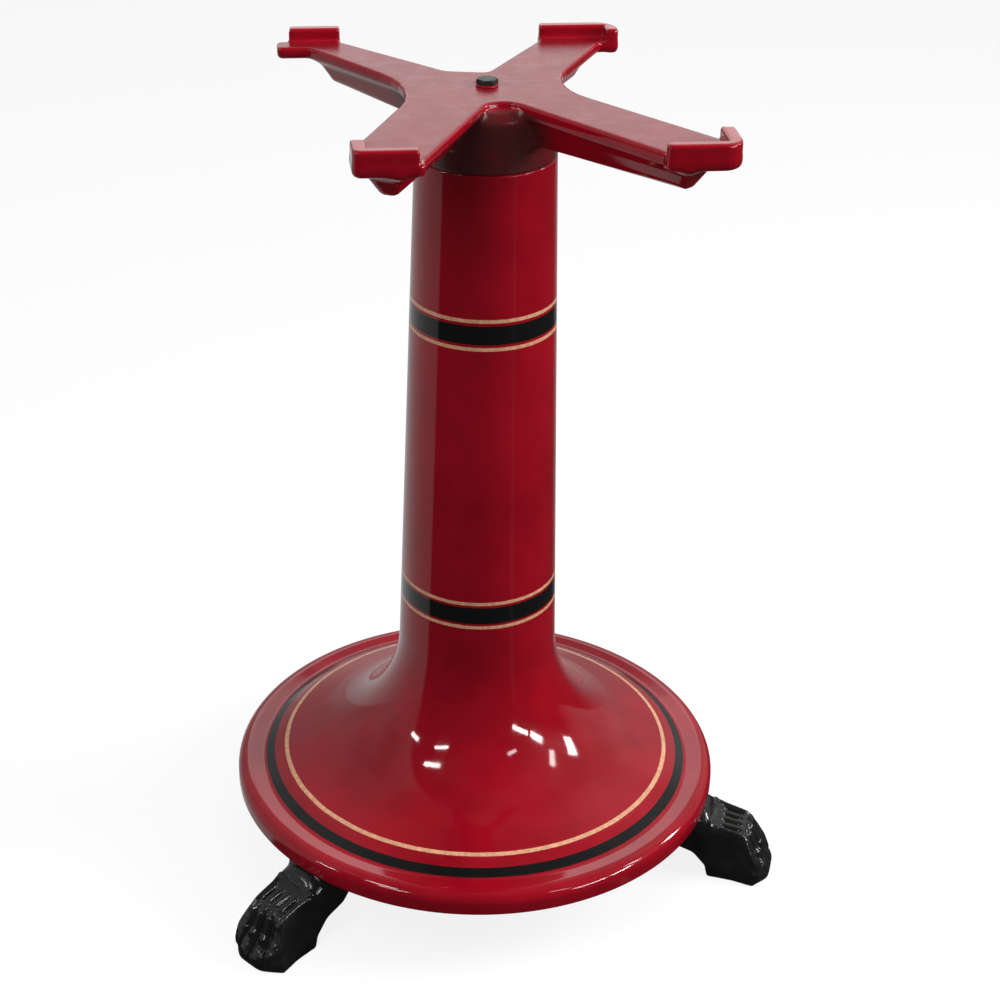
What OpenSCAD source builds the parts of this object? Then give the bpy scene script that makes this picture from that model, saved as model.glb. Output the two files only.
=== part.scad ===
// Pedestal for a counter slicing machine: a cast four-armed top on a cast column
// with a bell-shaped base, held together by one long bolt, on three claw feet.
// Millimetres. The origin is on the column's axis at the floor, Z up, the front is -Y.

/* [Heights] */
// Height of the machine seat on the arms above the floor
seat_h = 800; // [740:1:860]
// Height of the rim's lower edge above the floor
rim_z = 77; // [70:0.5:88]

/* [Top spider] */
// Thickness of the arms' plate
plate_t = 11; // [9:0.5:14]
// Height of the raised lips above the seat
lip_h = 11.5; // [6:0.5:16]
// Thickness of the raised lips
lip_t = 12; // [8:0.5:14]
// Reach of the front end faces from the column's axis
front_y = 204; // [190:1:220]
// Reach of the back end faces from the column's axis
back_y = 154; // [148:1:170]
// Inner end of the front left block
front_left_in = 70; // [64:1:76]
// Outer end of the front left block
front_left_out = 128; // [124:1:136]
// Inner end of the front right block
front_right_in = 122; // [116:1:126]
// Outer end of the front right block
front_right_out = 185; // [180:1:195]
// Inner end of the back left lip
back_left_in = 121; // [116:1:126]
// Outer end of the back left block
back_left_out = 180; // [176:1:190]
// Inner end of the back right lip
back_right_in = 65; // [60:1:68]
// Outer end of the back right block
back_right_out = 137; // [134:1:146]
// Length of the front left side lip
side_lip_fl = 36; // [26:1:40]
// Length of the front right side lip
side_lip_fr = 47; // [38:1:50]
// Depth of the back blocks
back_block_d = 28; // [24:1:30]
// Bare step at the outer end of the back left block, beside its lip
bare_step = 12; // [8:1:16]
// Radius of the collar's hollow core
collar_core_r = 38; // [30:1:42]
// Height of the collar between the plate and the column's top
collar_h = 50; // [42:1:56]
// Half height of the collar's sloping shoulder under the plate
shoulder = 4; // [2:0.5:5]
// Length of the spigot that enters the column
spigot_l = 38; // [28:1:50]
// Radius of the spigot
spigot_r = 50; // [46:0.5:52]
// Depth of the machined spot face round the tie bolt
spot_d = 0.5; // [0.3:0.1:1]

/* [Hub] */
// Distance left of the axis of the corner between the two left arms
hub_left_x = 60; // [54:1:62]
// Distance in front of the axis of that corner
hub_left_y = 6; // [2:1:10]
// Rounding of that corner
hub_left_round = 95; // [60:5:110]
// Distance right of the axis of the corner between the two right arms
hub_right_x = 54; // [50:1:58]
// Distance in front of the axis of that corner
hub_right_y = 1; // [0:1:6]
// Rounding of that corner
hub_right_round = 75; // [50:5:85]
// Distance right of the axis of the corner between the two front arms
hub_front_x = 3; // [0:1:6]
// Distance in front of the axis of that corner
hub_front_y = 31; // [28:1:36]
// Rounding of that corner
hub_front_round = 20; // [14:1:26]
// Distance left of the axis of the left corner at the back
hub_back_left_x = 32; // [28:1:36]
// Distance behind the axis of that corner
hub_back_left_y = 45; // [42:1:48]
// Rounding of that corner
hub_back_left_round = 15; // [10:1:20]
// Distance right of the axis of the right corner at the back
hub_back_right_x = 5; // [2:1:8]
// Distance behind the axis of that corner
hub_back_right_y = 39; // [36:1:42]
// Rounding of that corner
hub_back_right_round = 10; // [6:1:14]

/* [Arm ribs] */
// Start of the front left rib, left of the axis
rib_fl_start = 16; // [12:1:20]
// Start of the front right rib, right of the axis
rib_fr_start = 2; // [0:1:6]
// Start of the back left rib, left of the axis
rib_bl_start = 28; // [24:1:32]
// Start of the back right rib, right of the axis
rib_br_start = 14; // [10:1:18]
// Distance of the front left rib's end inside the middle of its block
rib_fl_shift = 0; // [0:1:6]
// Distance of the front right rib's end inside the middle of its block
rib_fr_shift = 8; // [7:1:16]
// Distance of the back left rib's end inside the middle of its block
rib_bl_shift = 27; // [26:1:36]
// Distance of the back right rib's end inside the middle of its block
rib_br_shift = 13; // [12:1:21]
// Distance from the front face to the end of the front left rib's lower edge
rib_fl_stop = 20; // [19:1:32]
// Distance from the front face to the end of the front right rib's lower edge
rib_fr_stop = 22; // [21:1:34]
// Distance from the back face to the end of the back ribs' lower edges
rib_back_stop = 30; // [29:1:42]
// Width of a rib where it meets the plate
rib_top_w = 36; // [30:1:38]
// Width of a rib along its lower edge
rib_low_w = 15; // [12:0.5:18]
// Depth of the ribs below the plate beside the collar
rib_root_d = 30; // [26:1:36]
// Depth of the ribs below the plate at their outer ends
rib_end_d = 21; // [16:1:24]
// Length of the sloping end of a rib
rib_slope = 13; // [8:1:14]

/* [Column and bell] */
// Outer radius of the column at its top, and of the collar on it
column_r = 63.9; // [62:0.1:70]
// Growth of the column's radius for each millimetre down
taper = 0.0276; // [0.01:0.0001:0.035]
// Radius of the hollow curve between column and bell
flare_r = 134.5; // [120:0.5:145]
// Slope of the bell below that curve, in degrees
bell_slope = 18; // [15:0.5:20]
// Distance of the bell's shoulder inside the rim's outer edge
shoulder_in = 46.5; // [43:0.5:52]
// Height of the shoulder above the rim's lower edge
shoulder_h = 32; // [28:0.5:36]
// Distance of the shallow valley inside the rim's outer edge
valley_in = 26.5; // [23:0.5:30]
// Height of the valley above the rim's lower edge
valley_h = 20.6; // [18:0.1:22]
// Height of the rim's bead above its lower edge
bead_h = 22.6; // [21:0.1:26]
// Outer radius of the rim
rim_r = 243.5; // [238:0.5:256]
// Rounding of the rim's upper edge
rim_round = 11; // [6:0.5:13]
// Wall of the castings
wall = 9; // [7:0.5:11]
// Radial clearance of the spigot in the column's socket
socket_gap = 0.3; // [0.1:0.1:0.6]
// Depth of the socket below the end of the spigot
socket_spare = 6; // [3:1:12]
// Height of the seat ring's lower face above the floor
ring_z = 200; // [194:1:215]
// Thickness of the seat ring
ring_t = 12; // [8:1:16]
// Inner radius of the seat ring
ring_r = 58; // [50:1:62]

/* [Tie bolt] */
// Diameter of the tie bolt
tie_d = 10; // [8:1:11]
// Radial clearance round the tie bolt
tie_gap = 0.75; // [0.4:0.05:1]
// Width across flats of its head and nuts
tie_flats = 17; // [16:1:19]
// Height of its head
tie_head = 4.5; // [4:0.1:7]
// Outer radius of its washers
tie_washer_r = 10; // [9.5:0.5:13]
// Thickness of its washers
tie_washer_t = 2; // [1.5:0.1:3]
// Height of its nut
tie_nut_h = 8.4; // [7:0.1:12]
// Height of the lock nut
lock_nut_h = 5; // [4:0.1:8]
// Length of the tie bolt that stands out below the lock nut
tie_out = 6; // [3:0.5:10]
// Radius of the bridge bar's round ends
bar_r = 72; // [66:0.5:73]
// Width of the bridge bar
bar_w = 40; // [34:1:46]
// Thickness of the bridge bar
bar_t = 12; // [10:1:14]
// Radius of the locating pin
pin_r = 3; // [2:0.5:4]
// Length of the locating pin
pin_l = 24; // [16:1:30]
// Radial clearance of the locating pin
pin_gap = 0.1; // [0.05:0.05:0.3]

/* [Claw feet] */
// Turn of the feet about the column's axis, in degrees
foot_turn = 10.5; // [-30:0.1:30]
// Length of a foot's neck inside the rim's outer edge
neck_l = 65.5; // [62:0.5:70]
// Width of the neck
neck_w = 58; // [54:1:64]
// Width of the foot at its waist
waist_w = 46; // [42:1:52]
// Width of the foot across the toes
toe_w = 72; // [60:1:74]
// Reach of the toes beyond the rim's outer edge
toe_reach = 72.5; // [64:0.5:82]
// Distance of the heel on the floor outside the rim's outer edge
heel_out = 7.5; // [0:0.5:14]
// Height of the knuckle above the floor
knuckle_h = 57; // [50:1:62]
// Radius of the crowned back of the foot
crown_r = 37.5; // [37:0.5:60]
// Number of flutes on the back of the foot
flutes = 4; // [2:1:6]
// Radius of a flute
flute_r = 3.2; // [2:0.1:4]
// Radius of the grooves between the toes
toe_groove_r = 3.6; // [2:0.1:4.5]

/* [Foot bolts] */
// Diameter of a foot bolt
foot_bolt_d = 10; // [8:1:10]
// Distance of the foot bolts inside the rim's outer edge
foot_bolt_in = 45.5; // [43:0.5:49]
// Distance between the two bolts of a foot
foot_bolt_gap = 30; // [26:1:32]
// Thickness of the neck that a bolt clamps
grip = 18; // [14:0.5:20]
// Depth of the tapped holes in the bosses
tap_d = 20; // [16:0.5:21]
// Length of bolt in a tapped hole
tap_in = 16; // [12:0.5:18]
// Radial clearance in the neck's holes
foot_bolt_clear = 0.5; // [0.3:0.1:1]
// Radial gap at the threads
thread_gap = 0.1; // [0.05:0.05:0.2]
// Width across flats of a foot bolt's head
foot_bolt_flats = 16; // [13:1:17]
// Height of a foot bolt's head
foot_bolt_head = 6.4; // [5:0.1:7]
// Outer radius of a foot washer
foot_washer_r = 10; // [9.5:0.1:10.5]
// Thickness of a foot washer
foot_washer_t = 2; // [1.5:0.1:2.5]

/* [Hidden] */
$fn = 96;

red = "#8f0c1e";
black = "#161616";
steel = "#8c8c8c";

plate_z = seat_h - plate_t;
joint_z = plate_z - collar_h;
spigot_z = joint_z - spigot_l;
spot_r = tie_washer_r + 1.5;
bolt_top = seat_h - spot_d;
bar_z = ring_z - bar_t;
nut_z = bar_z - tie_washer_t - tie_nut_h;
lock_z = nut_z - lock_nut_h;
tie_end = lock_z - tie_out;
left_az = 210 + foot_turn;
right_az = 330 + foot_turn;
back_az = 90 + foot_turn;
head_z = rim_z - grip - foot_washer_t;
pin_at = (spigot_r + socket_gap + column_r) / 2;
shoulder_r = rim_r - shoulder_in;
valley_r = rim_r - valley_in;
neck_in = rim_r - neck_l;
foot_bolt_r = rim_r - foot_bolt_in;
toe_r = rim_r + toe_reach;
heel_r = rim_r + heel_out;

// Hub of the spider: where the edges of neighbouring arms would meet, and how round each corner is
hub_left = [-hub_left_x, -hub_left_y, hub_left_round];
hub_right = [hub_right_x, -hub_right_y, hub_right_round];
hub_front = [hub_front_x, -hub_front_y, hub_front_round];
hub_back_left = [-hub_back_left_x, hub_back_left_y, hub_back_left_round];
hub_back_right = [hub_back_right_x, hub_back_right_y, hub_back_right_round];
// Ribs under the arms: where each starts beside the axis, and where its lower edge ends
rib_fl = [-rib_fl_start, rib_fl_shift - (front_left_in + front_left_out) / 2, rib_fl_stop - front_y];
rib_fr = [rib_fr_start, (front_right_in + front_right_out) / 2 - rib_fr_shift, rib_fr_stop - front_y];
rib_bl = [-rib_bl_start, rib_bl_shift - (back_left_in + back_left_out) / 2, back_y - rib_back_stop];
rib_br = [rib_br_start, (back_right_in + back_right_out) / 2 - rib_br_shift, back_y - rib_back_stop];

function unit(v) = v / norm(v);

// Arc that rounds the corner p between a and b with radius r, or p itself when r is 0
function corner(a, p, b, r) = r <= 0 ? [p] : let(
    u = unit(a - p), v = unit(b - p), half = acos(u * v) / 2,
    m = p + unit(u + v) * r / sin(half), s = p + u * r / tan(half) - m, e = p + v * r / tan(half) - m,
    a0 = atan2(s[1], s[0]), turn = (atan2(e[1], e[0]) - a0 + 540) % 360 - 180,
    n = max(3, ceil(abs(turn) / 10)))
    [for (k = [0:n]) m + r * [cos(a0 + turn * k / n), sin(a0 + turn * k / n)]];

// A closed outline from corners given as [x, y, radius]
function rounded(c) = [for (i = [0:len(c) - 1]) let(
    a = c[(i + len(c) - 1) % len(c)], p = c[i], b = c[(i + 1) % len(c)])
    each corner([a[0], a[1]], [p[0], p[1]], [b[0], b[1]], p[2])];

function column_radius(z) = column_r + taper * (joint_z - z);

// Centre of the curve between column and bell, which touches both outer lines
taper_n = sqrt(1 + taper * taper);
slope_t = tan(bell_slope);
column_foot = column_r + taper * joint_z;
flare_z = (rim_z + shoulder_h + slope_t * (shoulder_r - column_foot - flare_r * taper_n)
    + flare_r / cos(bell_slope)) / (1 - slope_t * taper);
flare_x = column_foot + flare_r * taper_n - taper * flare_z;

// Points of that curve for radius q, from the angle a0 to a1 below the horizontal
function flare(q, a0, a1, n) = [for (k = [0:n]) let(a = a0 + (a1 - a0) * k / n)
    [flare_x - q * cos(a), flare_z - q * sin(a)]];

function outer_line() = concat([[column_r, joint_z]],
    flare(flare_r, atan(taper), 90 - bell_slope, 16),
    corner([flare_x - flare_r * sin(bell_slope), flare_z - flare_r * cos(bell_slope)],
        [shoulder_r, rim_z + shoulder_h], [valley_r, rim_z + valley_h], 40),
    corner([shoulder_r, rim_z + shoulder_h], [valley_r, rim_z + valley_h],
        [rim_r - rim_round - 1, rim_z + bead_h], 9),
    corner([valley_r, rim_z + valley_h], [rim_r - rim_round - 1, rim_z + bead_h],
        [rim_r, rim_z + bead_h - 2], 14),
    corner([rim_r - rim_round - 1, rim_z + bead_h], [rim_r, rim_z + bead_h - 2],
        [rim_r, rim_z], rim_round),
    corner([rim_r, rim_z + bead_h], [rim_r, rim_z], [0, rim_z], 2));

cavity_r = flare_r + wall;
ring_low_a = asin((flare_z - ring_z) / cavity_r);
ring_top = ring_z + ring_t;
core_top = spigot_z - socket_spare;
function cavity_line() = concat([[rim_r - wall, rim_z], [rim_r - wall, rim_z + bead_h - wall - 2],
    [valley_r, rim_z + valley_h - wall - 1], [shoulder_r - 3, rim_z + shoulder_h - wall - 0.5]],
    flare(cavity_r, 90 - bell_slope, ring_low_a, 12),
    [[ring_r, ring_z], [ring_r, ring_top], [column_radius(ring_top) - wall, ring_top],
    [column_radius(core_top) - wall, core_top - 8], [spigot_r + socket_gap, core_top],
    [spigot_r + socket_gap, joint_z]]);

// Outline of the spider's plate, counter-clockwise from the front right block
spider_outline = rounded([
    [front_right_in, -front_y, 4], [front_right_out, -front_y, 16],
    [front_right_out, -front_y + side_lip_fr, 3], [front_right_out - 7, -front_y + side_lip_fr, 2],
    hub_right,
    [back_right_out - 18, back_y - back_block_d, 4], [back_right_out, back_y - back_block_d, 4],
    [back_right_out, back_y, 20], [back_right_in, back_y, 3], [back_right_in - 1, back_y - 17, 2],
    hub_back_right, hub_back_left,
    [-back_left_in - 1, back_y - 13, 2], [-back_left_in, back_y, 3],
    [-back_left_out + bare_step, back_y, 3], [-back_left_out + bare_step, back_y - 11, 2],
    [-back_left_out, back_y - 11, 4], [-back_left_out, back_y - back_block_d - 5, 4],
    [-back_left_out + 30, back_y - back_block_d - 5, 8],
    hub_left,
    [-front_left_out - 1, -front_y + side_lip_fl, 6], [-front_left_out, -front_y, 7],
    [-front_left_in, -front_y, 4], [-front_left_in, -front_y + 12, 3],
    hub_front,
    [front_right_in, -front_y + 18, 3]]);

module box(x0, x1, y0, y1) {
    translate([x0, y0]) square([x1 - x0, y1 - y0]);
}

// Lips: bands along the end faces and round the outer corners
module lips() {
    translate([0, 0, plate_z]) linear_extrude(plate_t + lip_h) intersection() {
        polygon(spider_outline);
        union() {
            box(-front_left_out - 5, -front_left_in + 5, -front_y - 1, -front_y + lip_t);
            box(-front_left_out - 5, -front_left_out + lip_t, -front_y - 1,
                -front_y + side_lip_fl - 4);
            box(front_right_in - 5, front_right_out + 5, -front_y - 1, -front_y + lip_t);
            box(front_right_out - lip_t, front_right_out + 5, -front_y - 1,
                -front_y + side_lip_fr + 1);
            box(-back_left_out + bare_step - 1, -back_left_in + 1, back_y - lip_t, back_y + 1);
            box(back_right_in - 2, back_right_out + 5, back_y - lip_t, back_y + 1);
            box(back_right_out - lip_t, back_right_out + 5, back_y - back_block_d - 1, back_y + 1);
        }
    }
}

// Rib under one arm, given as [x of its start, x and y of the end of its lower edge]
module rib(r) {
    run = [r[1] - r[0], r[2]];
    low = rib_low_w / 2;
    translate([r[0], 0, 0]) rotate([0, 0, atan2(run[1], run[0])]) intersection() {
        rotate([90, 0, 90]) linear_extrude(norm(run) + rib_slope + 10) polygon([
            [-rib_top_w / 2, plate_z + 2], [-rib_top_w / 2, plate_z],
            [-low - 1, plate_z - rib_end_d], [-low, plate_z - rib_root_d - 1],
            [low, plate_z - rib_root_d - 1], [low + 1, plate_z - rib_end_d],
            [rib_top_w / 2, plate_z], [rib_top_w / 2, plate_z + 2]]);
        rotate([90, 0, 0]) linear_extrude(2 * rib_top_w, center = true) polygon([
            [0, plate_z + 1], [0, plate_z - rib_root_d], [norm(run), plate_z - rib_end_d],
            [norm(run) + rib_slope, plate_z], [norm(run) + rib_slope, plate_z + 1]]);
    }
}

module top_spider() {
    color(red) difference() {
        union() {
            translate([0, 0, plate_z]) linear_extrude(plate_t) polygon(spider_outline);
            lips();
            for (r = [rib_fl, rib_fr, rib_bl, rib_br]) rib(r);
            rotate_extrude() polygon([[0, joint_z], [column_r, joint_z], [column_r, plate_z - shoulder],
                [column_r - 1.5 * shoulder, plate_z + shoulder], [0, plate_z + shoulder]]);
            translate([0, 0, spigot_z]) cylinder(h = spigot_l + 1, r = spigot_r);
        }
        translate([0, 0, spigot_z - 1]) cylinder(h = plate_z - 4 - spigot_z + 1, r = collar_core_r);
        translate([0, 0, spigot_z - 1]) cylinder(h = seat_h, r = tie_d / 2 + tie_gap);
        translate([0, 0, seat_h - spot_d]) cylinder(h = 5, r = spot_r);
        translate([0, pin_at, joint_z - 1]) cylinder(h = pin_l / 2 + 2, r = pin_r + pin_gap);
    }
}

// Boss under the bell that carries a foot's neck, for the foot at azimuth az
module boss(az) {
    rotate([0, 0, az]) translate([neck_in - 4, -neck_w / 2 - 3, rim_z])
        cube([rim_r - wall - neck_in + 6, neck_w + 6, shoulder_h + 30]);
}

module column_base() {
    color(red) difference() {
        union() {
            rotate_extrude() polygon(concat(outer_line(), cavity_line()));
            intersection() {
                union() {
                    boss(left_az);
                    boss(right_az);
                    boss(back_az);
                }
                translate([0, 0, -wall / 2]) rotate_extrude()
                    polygon(concat([[0, joint_z]], outer_line(), [[0, rim_z]]));
                translate([0, 0, rim_z]) cylinder(h = shoulder_h + 30, r = rim_r - wall + 3);
            }
        }
        for (az = [left_az, right_az, back_az], s = [-1, 1]) rotate([0, 0, az])
            translate([foot_bolt_r, s * foot_bolt_gap / 2, rim_z - 1])
                cylinder(h = tap_d + 1, r = foot_bolt_d / 2 + thread_gap, $fn = 48);
        translate([0, pin_at, joint_z - pin_l / 2 - 1]) cylinder(h = pin_l, r = pin_r + pin_gap, $fn = 48);
    }
}

// The foot's crowned back: a round top that slopes down from the rim to the knuckle
crown_a = atan((rim_z - 5 - knuckle_h) / (0.572 * toe_reach));
function crown_top(share) = rim_z - 4 - share * toe_reach * tan(crown_a);
function crown_drop(y) = crown_r - sqrt(crown_r * crown_r - y * y);

module crown() {
    translate([rim_r, 0, rim_z - 4]) rotate([0, crown_a, 0]) translate([-toe_reach, 0, -crown_r])
        rotate([90, 0, 90]) linear_extrude(3 * toe_reach) union() {
            circle(r = crown_r);
            translate([-crown_r, -2 * rim_z]) square([2 * crown_r, 2 * rim_z]);
        }
}

// Claw foot that points along +X from the column's axis
module claw_foot() {
    // x at a share of the way from the rim's edge to the toe tips
    function along(share) = rim_r + share * toe_reach;
    side = rounded([
        [neck_in, rim_z, 0], [rim_r - 8, rim_z, 0], [rim_r + 1, rim_z - 5, 4],
        [along(0.22), knuckle_h + 4, 18], [along(0.393), knuckle_h - 1, 14],
        [along(0.572), knuckle_h + 1.5, 7], [along(0.697), knuckle_h - 11, 12],
        [along(0.876), knuckle_h / 2 + 2, 30], [toe_r, 14, 7], [toe_r - 3, 0, 5],
        [heel_r, 0, 4], [heel_r - 3, 13, 8], [heel_r - 16, 27, 14], [heel_r - 38, 34, 12],
        [heel_r - 53, 50, 14], [neck_in, 57, 4]]);
    plan = rounded([
        [neck_in, -neck_w / 2, 8], [rim_r + 4, -neck_w / 2, 20], [along(0.393), -waist_w / 2, 26],
        [along(0.61), -waist_w / 2, 14], [along(0.78), -toe_w / 2, 8], [toe_r, -toe_w / 5, 26],
        [toe_r, toe_w / 5, 26], [along(0.78), toe_w / 2, 8], [along(0.61), waist_w / 2, 14],
        [along(0.393), waist_w / 2, 26], [rim_r + 4, neck_w / 2, 20], [neck_in, neck_w / 2, 8]]);
    flute_y = waist_w / (flutes + 0.6);
    color(black) difference() {
        intersection() {
            rotate([90, 0, 0]) linear_extrude(2 * toe_w, center = true) polygon(side);
            translate([0, 0, -1]) linear_extrude(rim_z + 2) polygon(plan);
            union() {
                crown();
                translate([neck_in - 1, -neck_w, 0]) cube([neck_l - 7, 2 * neck_w, rim_z + 1]);
            }
        }
        // flutes down the back of the foot
        for (k = [0:flutes - 1]) let(y = (k - (flutes - 1) / 2) * flute_y)
            translate([along(0.1), y, crown_top(0.1) - 2.6 - crown_drop(y)])
                rotate([0, 90 + crown_a, 0]) cylinder(h = 0.38 * toe_reach, r = flute_r, $fn = 24);
        // grooves that part the toes
        for (k = [-1:1]) translate([toe_r - 24, k * toe_w / 5, knuckle_h - 6])
            rotate([0, 0, k * 8]) rotate([0, 147, 0])
                cylinder(h = knuckle_h + 12, r = toe_groove_r, $fn = 24);
        // seats and holes of the two bolts
        for (s = [-1, 1]) translate([foot_bolt_r, s * foot_bolt_gap / 2, 0]) {
            cylinder(h = rim_z + 1, r = foot_bolt_d / 2 + foot_bolt_clear, $fn = 48);
            cylinder(h = rim_z - grip, r = foot_washer_r + 0.6, $fn = 48);
        }
    }
}

// Hexagon prism with its end face chamfered, the face that shows towards +Z
module hex_head(flats, h) {
    intersection() {
        cylinder(h = h, r = flats / 2 / cos(30), $fn = 6);
        rotate_extrude() polygon([[0, 0], [flats, 0], [flats, h - 2], [flats / 2 - 0.2, h], [0, h]]);
    }
}

module tie_bolt() {
    color(black) union() {
        translate([0, 0, tie_end]) cylinder(h = bolt_top + tie_washer_t - tie_end + 1, r = tie_d / 2);
        translate([0, 0, bolt_top + tie_washer_t]) hex_head(tie_flats, tie_head);
    }
}

module washer(z, t, outer, inner) {
    translate([0, 0, z]) difference() {
        cylinder(h = t, r = outer);
        translate([0, 0, -1]) cylinder(h = t + 2, r = inner);
    }
}

module top_washer() {
    color(steel) washer(bolt_top, tie_washer_t, tie_washer_r, tie_d / 2 + 0.5);
}

module lower_washer() {
    color(steel) washer(bar_z - tie_washer_t, tie_washer_t, tie_washer_r, tie_d / 2 + 0.5);
}

module nut(z, h) {
    translate([0, 0, z]) difference() {
        intersection() {
            hex_head(tie_flats, h);
            translate([0, 0, h]) mirror([0, 0, 1]) hex_head(tie_flats, h);
        }
        translate([0, 0, -1]) cylinder(h = h + 2, r = tie_d / 2 + thread_gap);
    }
}

module tie_nut() {
    color(steel) nut(nut_z, tie_nut_h);
}

module lock_nut() {
    color(steel) nut(lock_z, lock_nut_h);
}

module bridge_bar() {
    color(steel) translate([0, 0, bar_z]) difference() {
        intersection() {
            cylinder(h = bar_t, r = bar_r);
            translate([-bar_r - 1, -bar_w / 2, -1]) cube([2 * bar_r + 2, bar_w, bar_t + 2]);
        }
        translate([0, 0, -1]) cylinder(h = bar_t + 2, r = tie_d / 2 + tie_gap);
    }
}

module locating_pin() {
    color(steel) translate([0, pin_at, joint_z - pin_l / 2]) cylinder(h = pin_l, r = pin_r, $fn = 48);
}

// One bolt of the foot at azimuth az, on the side s of its middle
module foot_bolt(az, s) {
    color(steel) rotate([0, 0, az]) translate([foot_bolt_r, s * foot_bolt_gap / 2, head_z]) union() {
        mirror([0, 0, 1]) hex_head(foot_bolt_flats, foot_bolt_head);
        translate([0, 0, -1]) cylinder(h = foot_washer_t + grip + tap_in + 1, r = foot_bolt_d / 2, $fn = 48);
    }
}

module foot_washer(az, s) {
    color(steel) rotate([0, 0, az]) translate([foot_bolt_r, s * foot_bolt_gap / 2, 0])
        washer(head_z, foot_washer_t, foot_washer_r, foot_bolt_d / 2 + 0.4);
}

module claw_foot_left() { rotate([0, 0, left_az]) claw_foot(); }
module claw_foot_right() { rotate([0, 0, right_az]) claw_foot(); }
module claw_foot_back() { rotate([0, 0, back_az]) claw_foot(); }

top_spider();
column_base();
claw_foot_left();
claw_foot_right();
claw_foot_back();
tie_bolt();
top_washer();
bridge_bar();
lower_washer();
tie_nut();
lock_nut();
locating_pin();
foot_bolt(left_az, -1);  // foot_bolt_left_a
foot_bolt(left_az, 1);  // foot_bolt_left_b
foot_bolt(right_az, -1);  // foot_bolt_right_a
foot_bolt(right_az, 1);  // foot_bolt_right_b
foot_bolt(back_az, -1);  // foot_bolt_back_a
foot_bolt(back_az, 1);  // foot_bolt_back_b
foot_washer(left_az, -1);  // foot_washer_left_a
foot_washer(left_az, 1);  // foot_washer_left_b
foot_washer(right_az, -1);  // foot_washer_right_a
foot_washer(right_az, 1);  // foot_washer_right_b
foot_washer(back_az, -1);  // foot_washer_back_a
foot_washer(back_az, 1);  // foot_washer_back_b
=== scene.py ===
"""Looks of a counter slicer's pedestal: red enamelled castings with painted lines, on black claw feet.

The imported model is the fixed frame, and each piece made here stands where its part stands. Sizes in
this file are in millimetres, and the meshes are made in metres with their place in the mesh.
"""

from __future__ import annotations

import logging
import math
from dataclasses import dataclass, field
from enum import Enum
from typing import Sequence

import bpy
import numpy as np
from mathutils import Matrix, Vector

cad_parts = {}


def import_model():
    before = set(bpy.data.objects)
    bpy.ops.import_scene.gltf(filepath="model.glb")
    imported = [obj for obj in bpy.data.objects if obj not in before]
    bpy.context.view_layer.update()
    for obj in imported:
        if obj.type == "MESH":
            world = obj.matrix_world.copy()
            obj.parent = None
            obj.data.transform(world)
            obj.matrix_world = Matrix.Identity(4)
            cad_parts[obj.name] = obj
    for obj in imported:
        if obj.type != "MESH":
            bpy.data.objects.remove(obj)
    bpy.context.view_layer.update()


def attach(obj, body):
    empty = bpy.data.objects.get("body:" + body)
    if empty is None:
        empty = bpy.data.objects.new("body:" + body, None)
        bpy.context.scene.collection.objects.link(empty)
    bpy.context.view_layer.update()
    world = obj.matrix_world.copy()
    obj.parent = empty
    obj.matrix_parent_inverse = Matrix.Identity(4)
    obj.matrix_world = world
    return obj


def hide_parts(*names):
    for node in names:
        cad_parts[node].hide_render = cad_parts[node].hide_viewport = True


LOG = logging.getLogger("slicer_pedestal")
MM = 0.001
BODY = "root"
WHITE = (1.0, 1.0, 1.0, 1.0)

# Slot of the plated fasteners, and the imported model's own plain material in it, which they keep.
PLATED = "zinc_steel"

# Where the three claw feet point, in degrees about the column's axis.
FEET = {"left": 220.5, "right": 340.5, "back": 100.5}

Point = tuple[float, float]
Triple = tuple[float, float, float]
Corner = Triple  # x, y and radius of an outline's corner


# ---------------------------------------------------------------- outlines and distance fields

# Two sides of a corner whose directions cancel out to less than this make no corner.
STRAIGHT = 1e-4
# Keeps a division by a flat field's slope finite.
TINY = 1e-9
# Keeps a division by the length of an outline's side finite.
SPECK = 1e-12


def corner_arc(before: Point, at: Point, after: Point, radius: float, step: float) -> list[Point]:
    """Points of the arc that rounds one corner of an outline.

    Args:
        before: The corner before it.
        at: The corner that is rounded.
        after: The corner after it.
        radius: Radius of the arc, or 0 for a sharp corner.
        step: Largest angle between two points, in degrees.

    Returns:
        The arc's points, in the outline's order.
    """
    if radius <= 0:
        return [at]
    a, p, b = (np.array(v, float) for v in (before, at, after))
    u, v = (a - p) / np.linalg.norm(a - p), (b - p) / np.linalg.norm(b - p)
    if np.linalg.norm(u + v) < STRAIGHT:
        return [at]
    half = math.acos(max(-1.0, min(1.0, float(u @ v)))) / 2
    centre = p + (u + v) / np.linalg.norm(u + v) * radius / math.sin(half)
    start, end = p + u * radius / math.tan(half) - centre, p + v * radius / math.tan(half) - centre
    a0 = math.atan2(start[1], start[0])
    turn = (math.atan2(end[1], end[0]) - a0 + 3 * math.pi) % (2 * math.pi) - math.pi
    count = max(3, math.ceil(abs(math.degrees(turn)) / step))
    angles = [a0 + turn * k / count for k in range(count + 1)]
    return [(centre[0] + radius * math.cos(t), centre[1] + radius * math.sin(t)) for t in angles]


def rounded_outline(corners: Sequence[Corner], step: float = 10.0) -> list[Point]:
    """A closed outline from corners given as x, y and radius.

    Args:
        corners: The corners in order.
        step: Largest angle between two points of an arc, in degrees.

    Returns:
        The outline's points.
    """
    points: list[Point] = []
    for i, (x, y, radius) in enumerate(corners):
        before, after = corners[i - 1], corners[(i + 1) % len(corners)]
        points += corner_arc(before[:2], (x, y), after[:2], radius, step)
    return points


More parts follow.
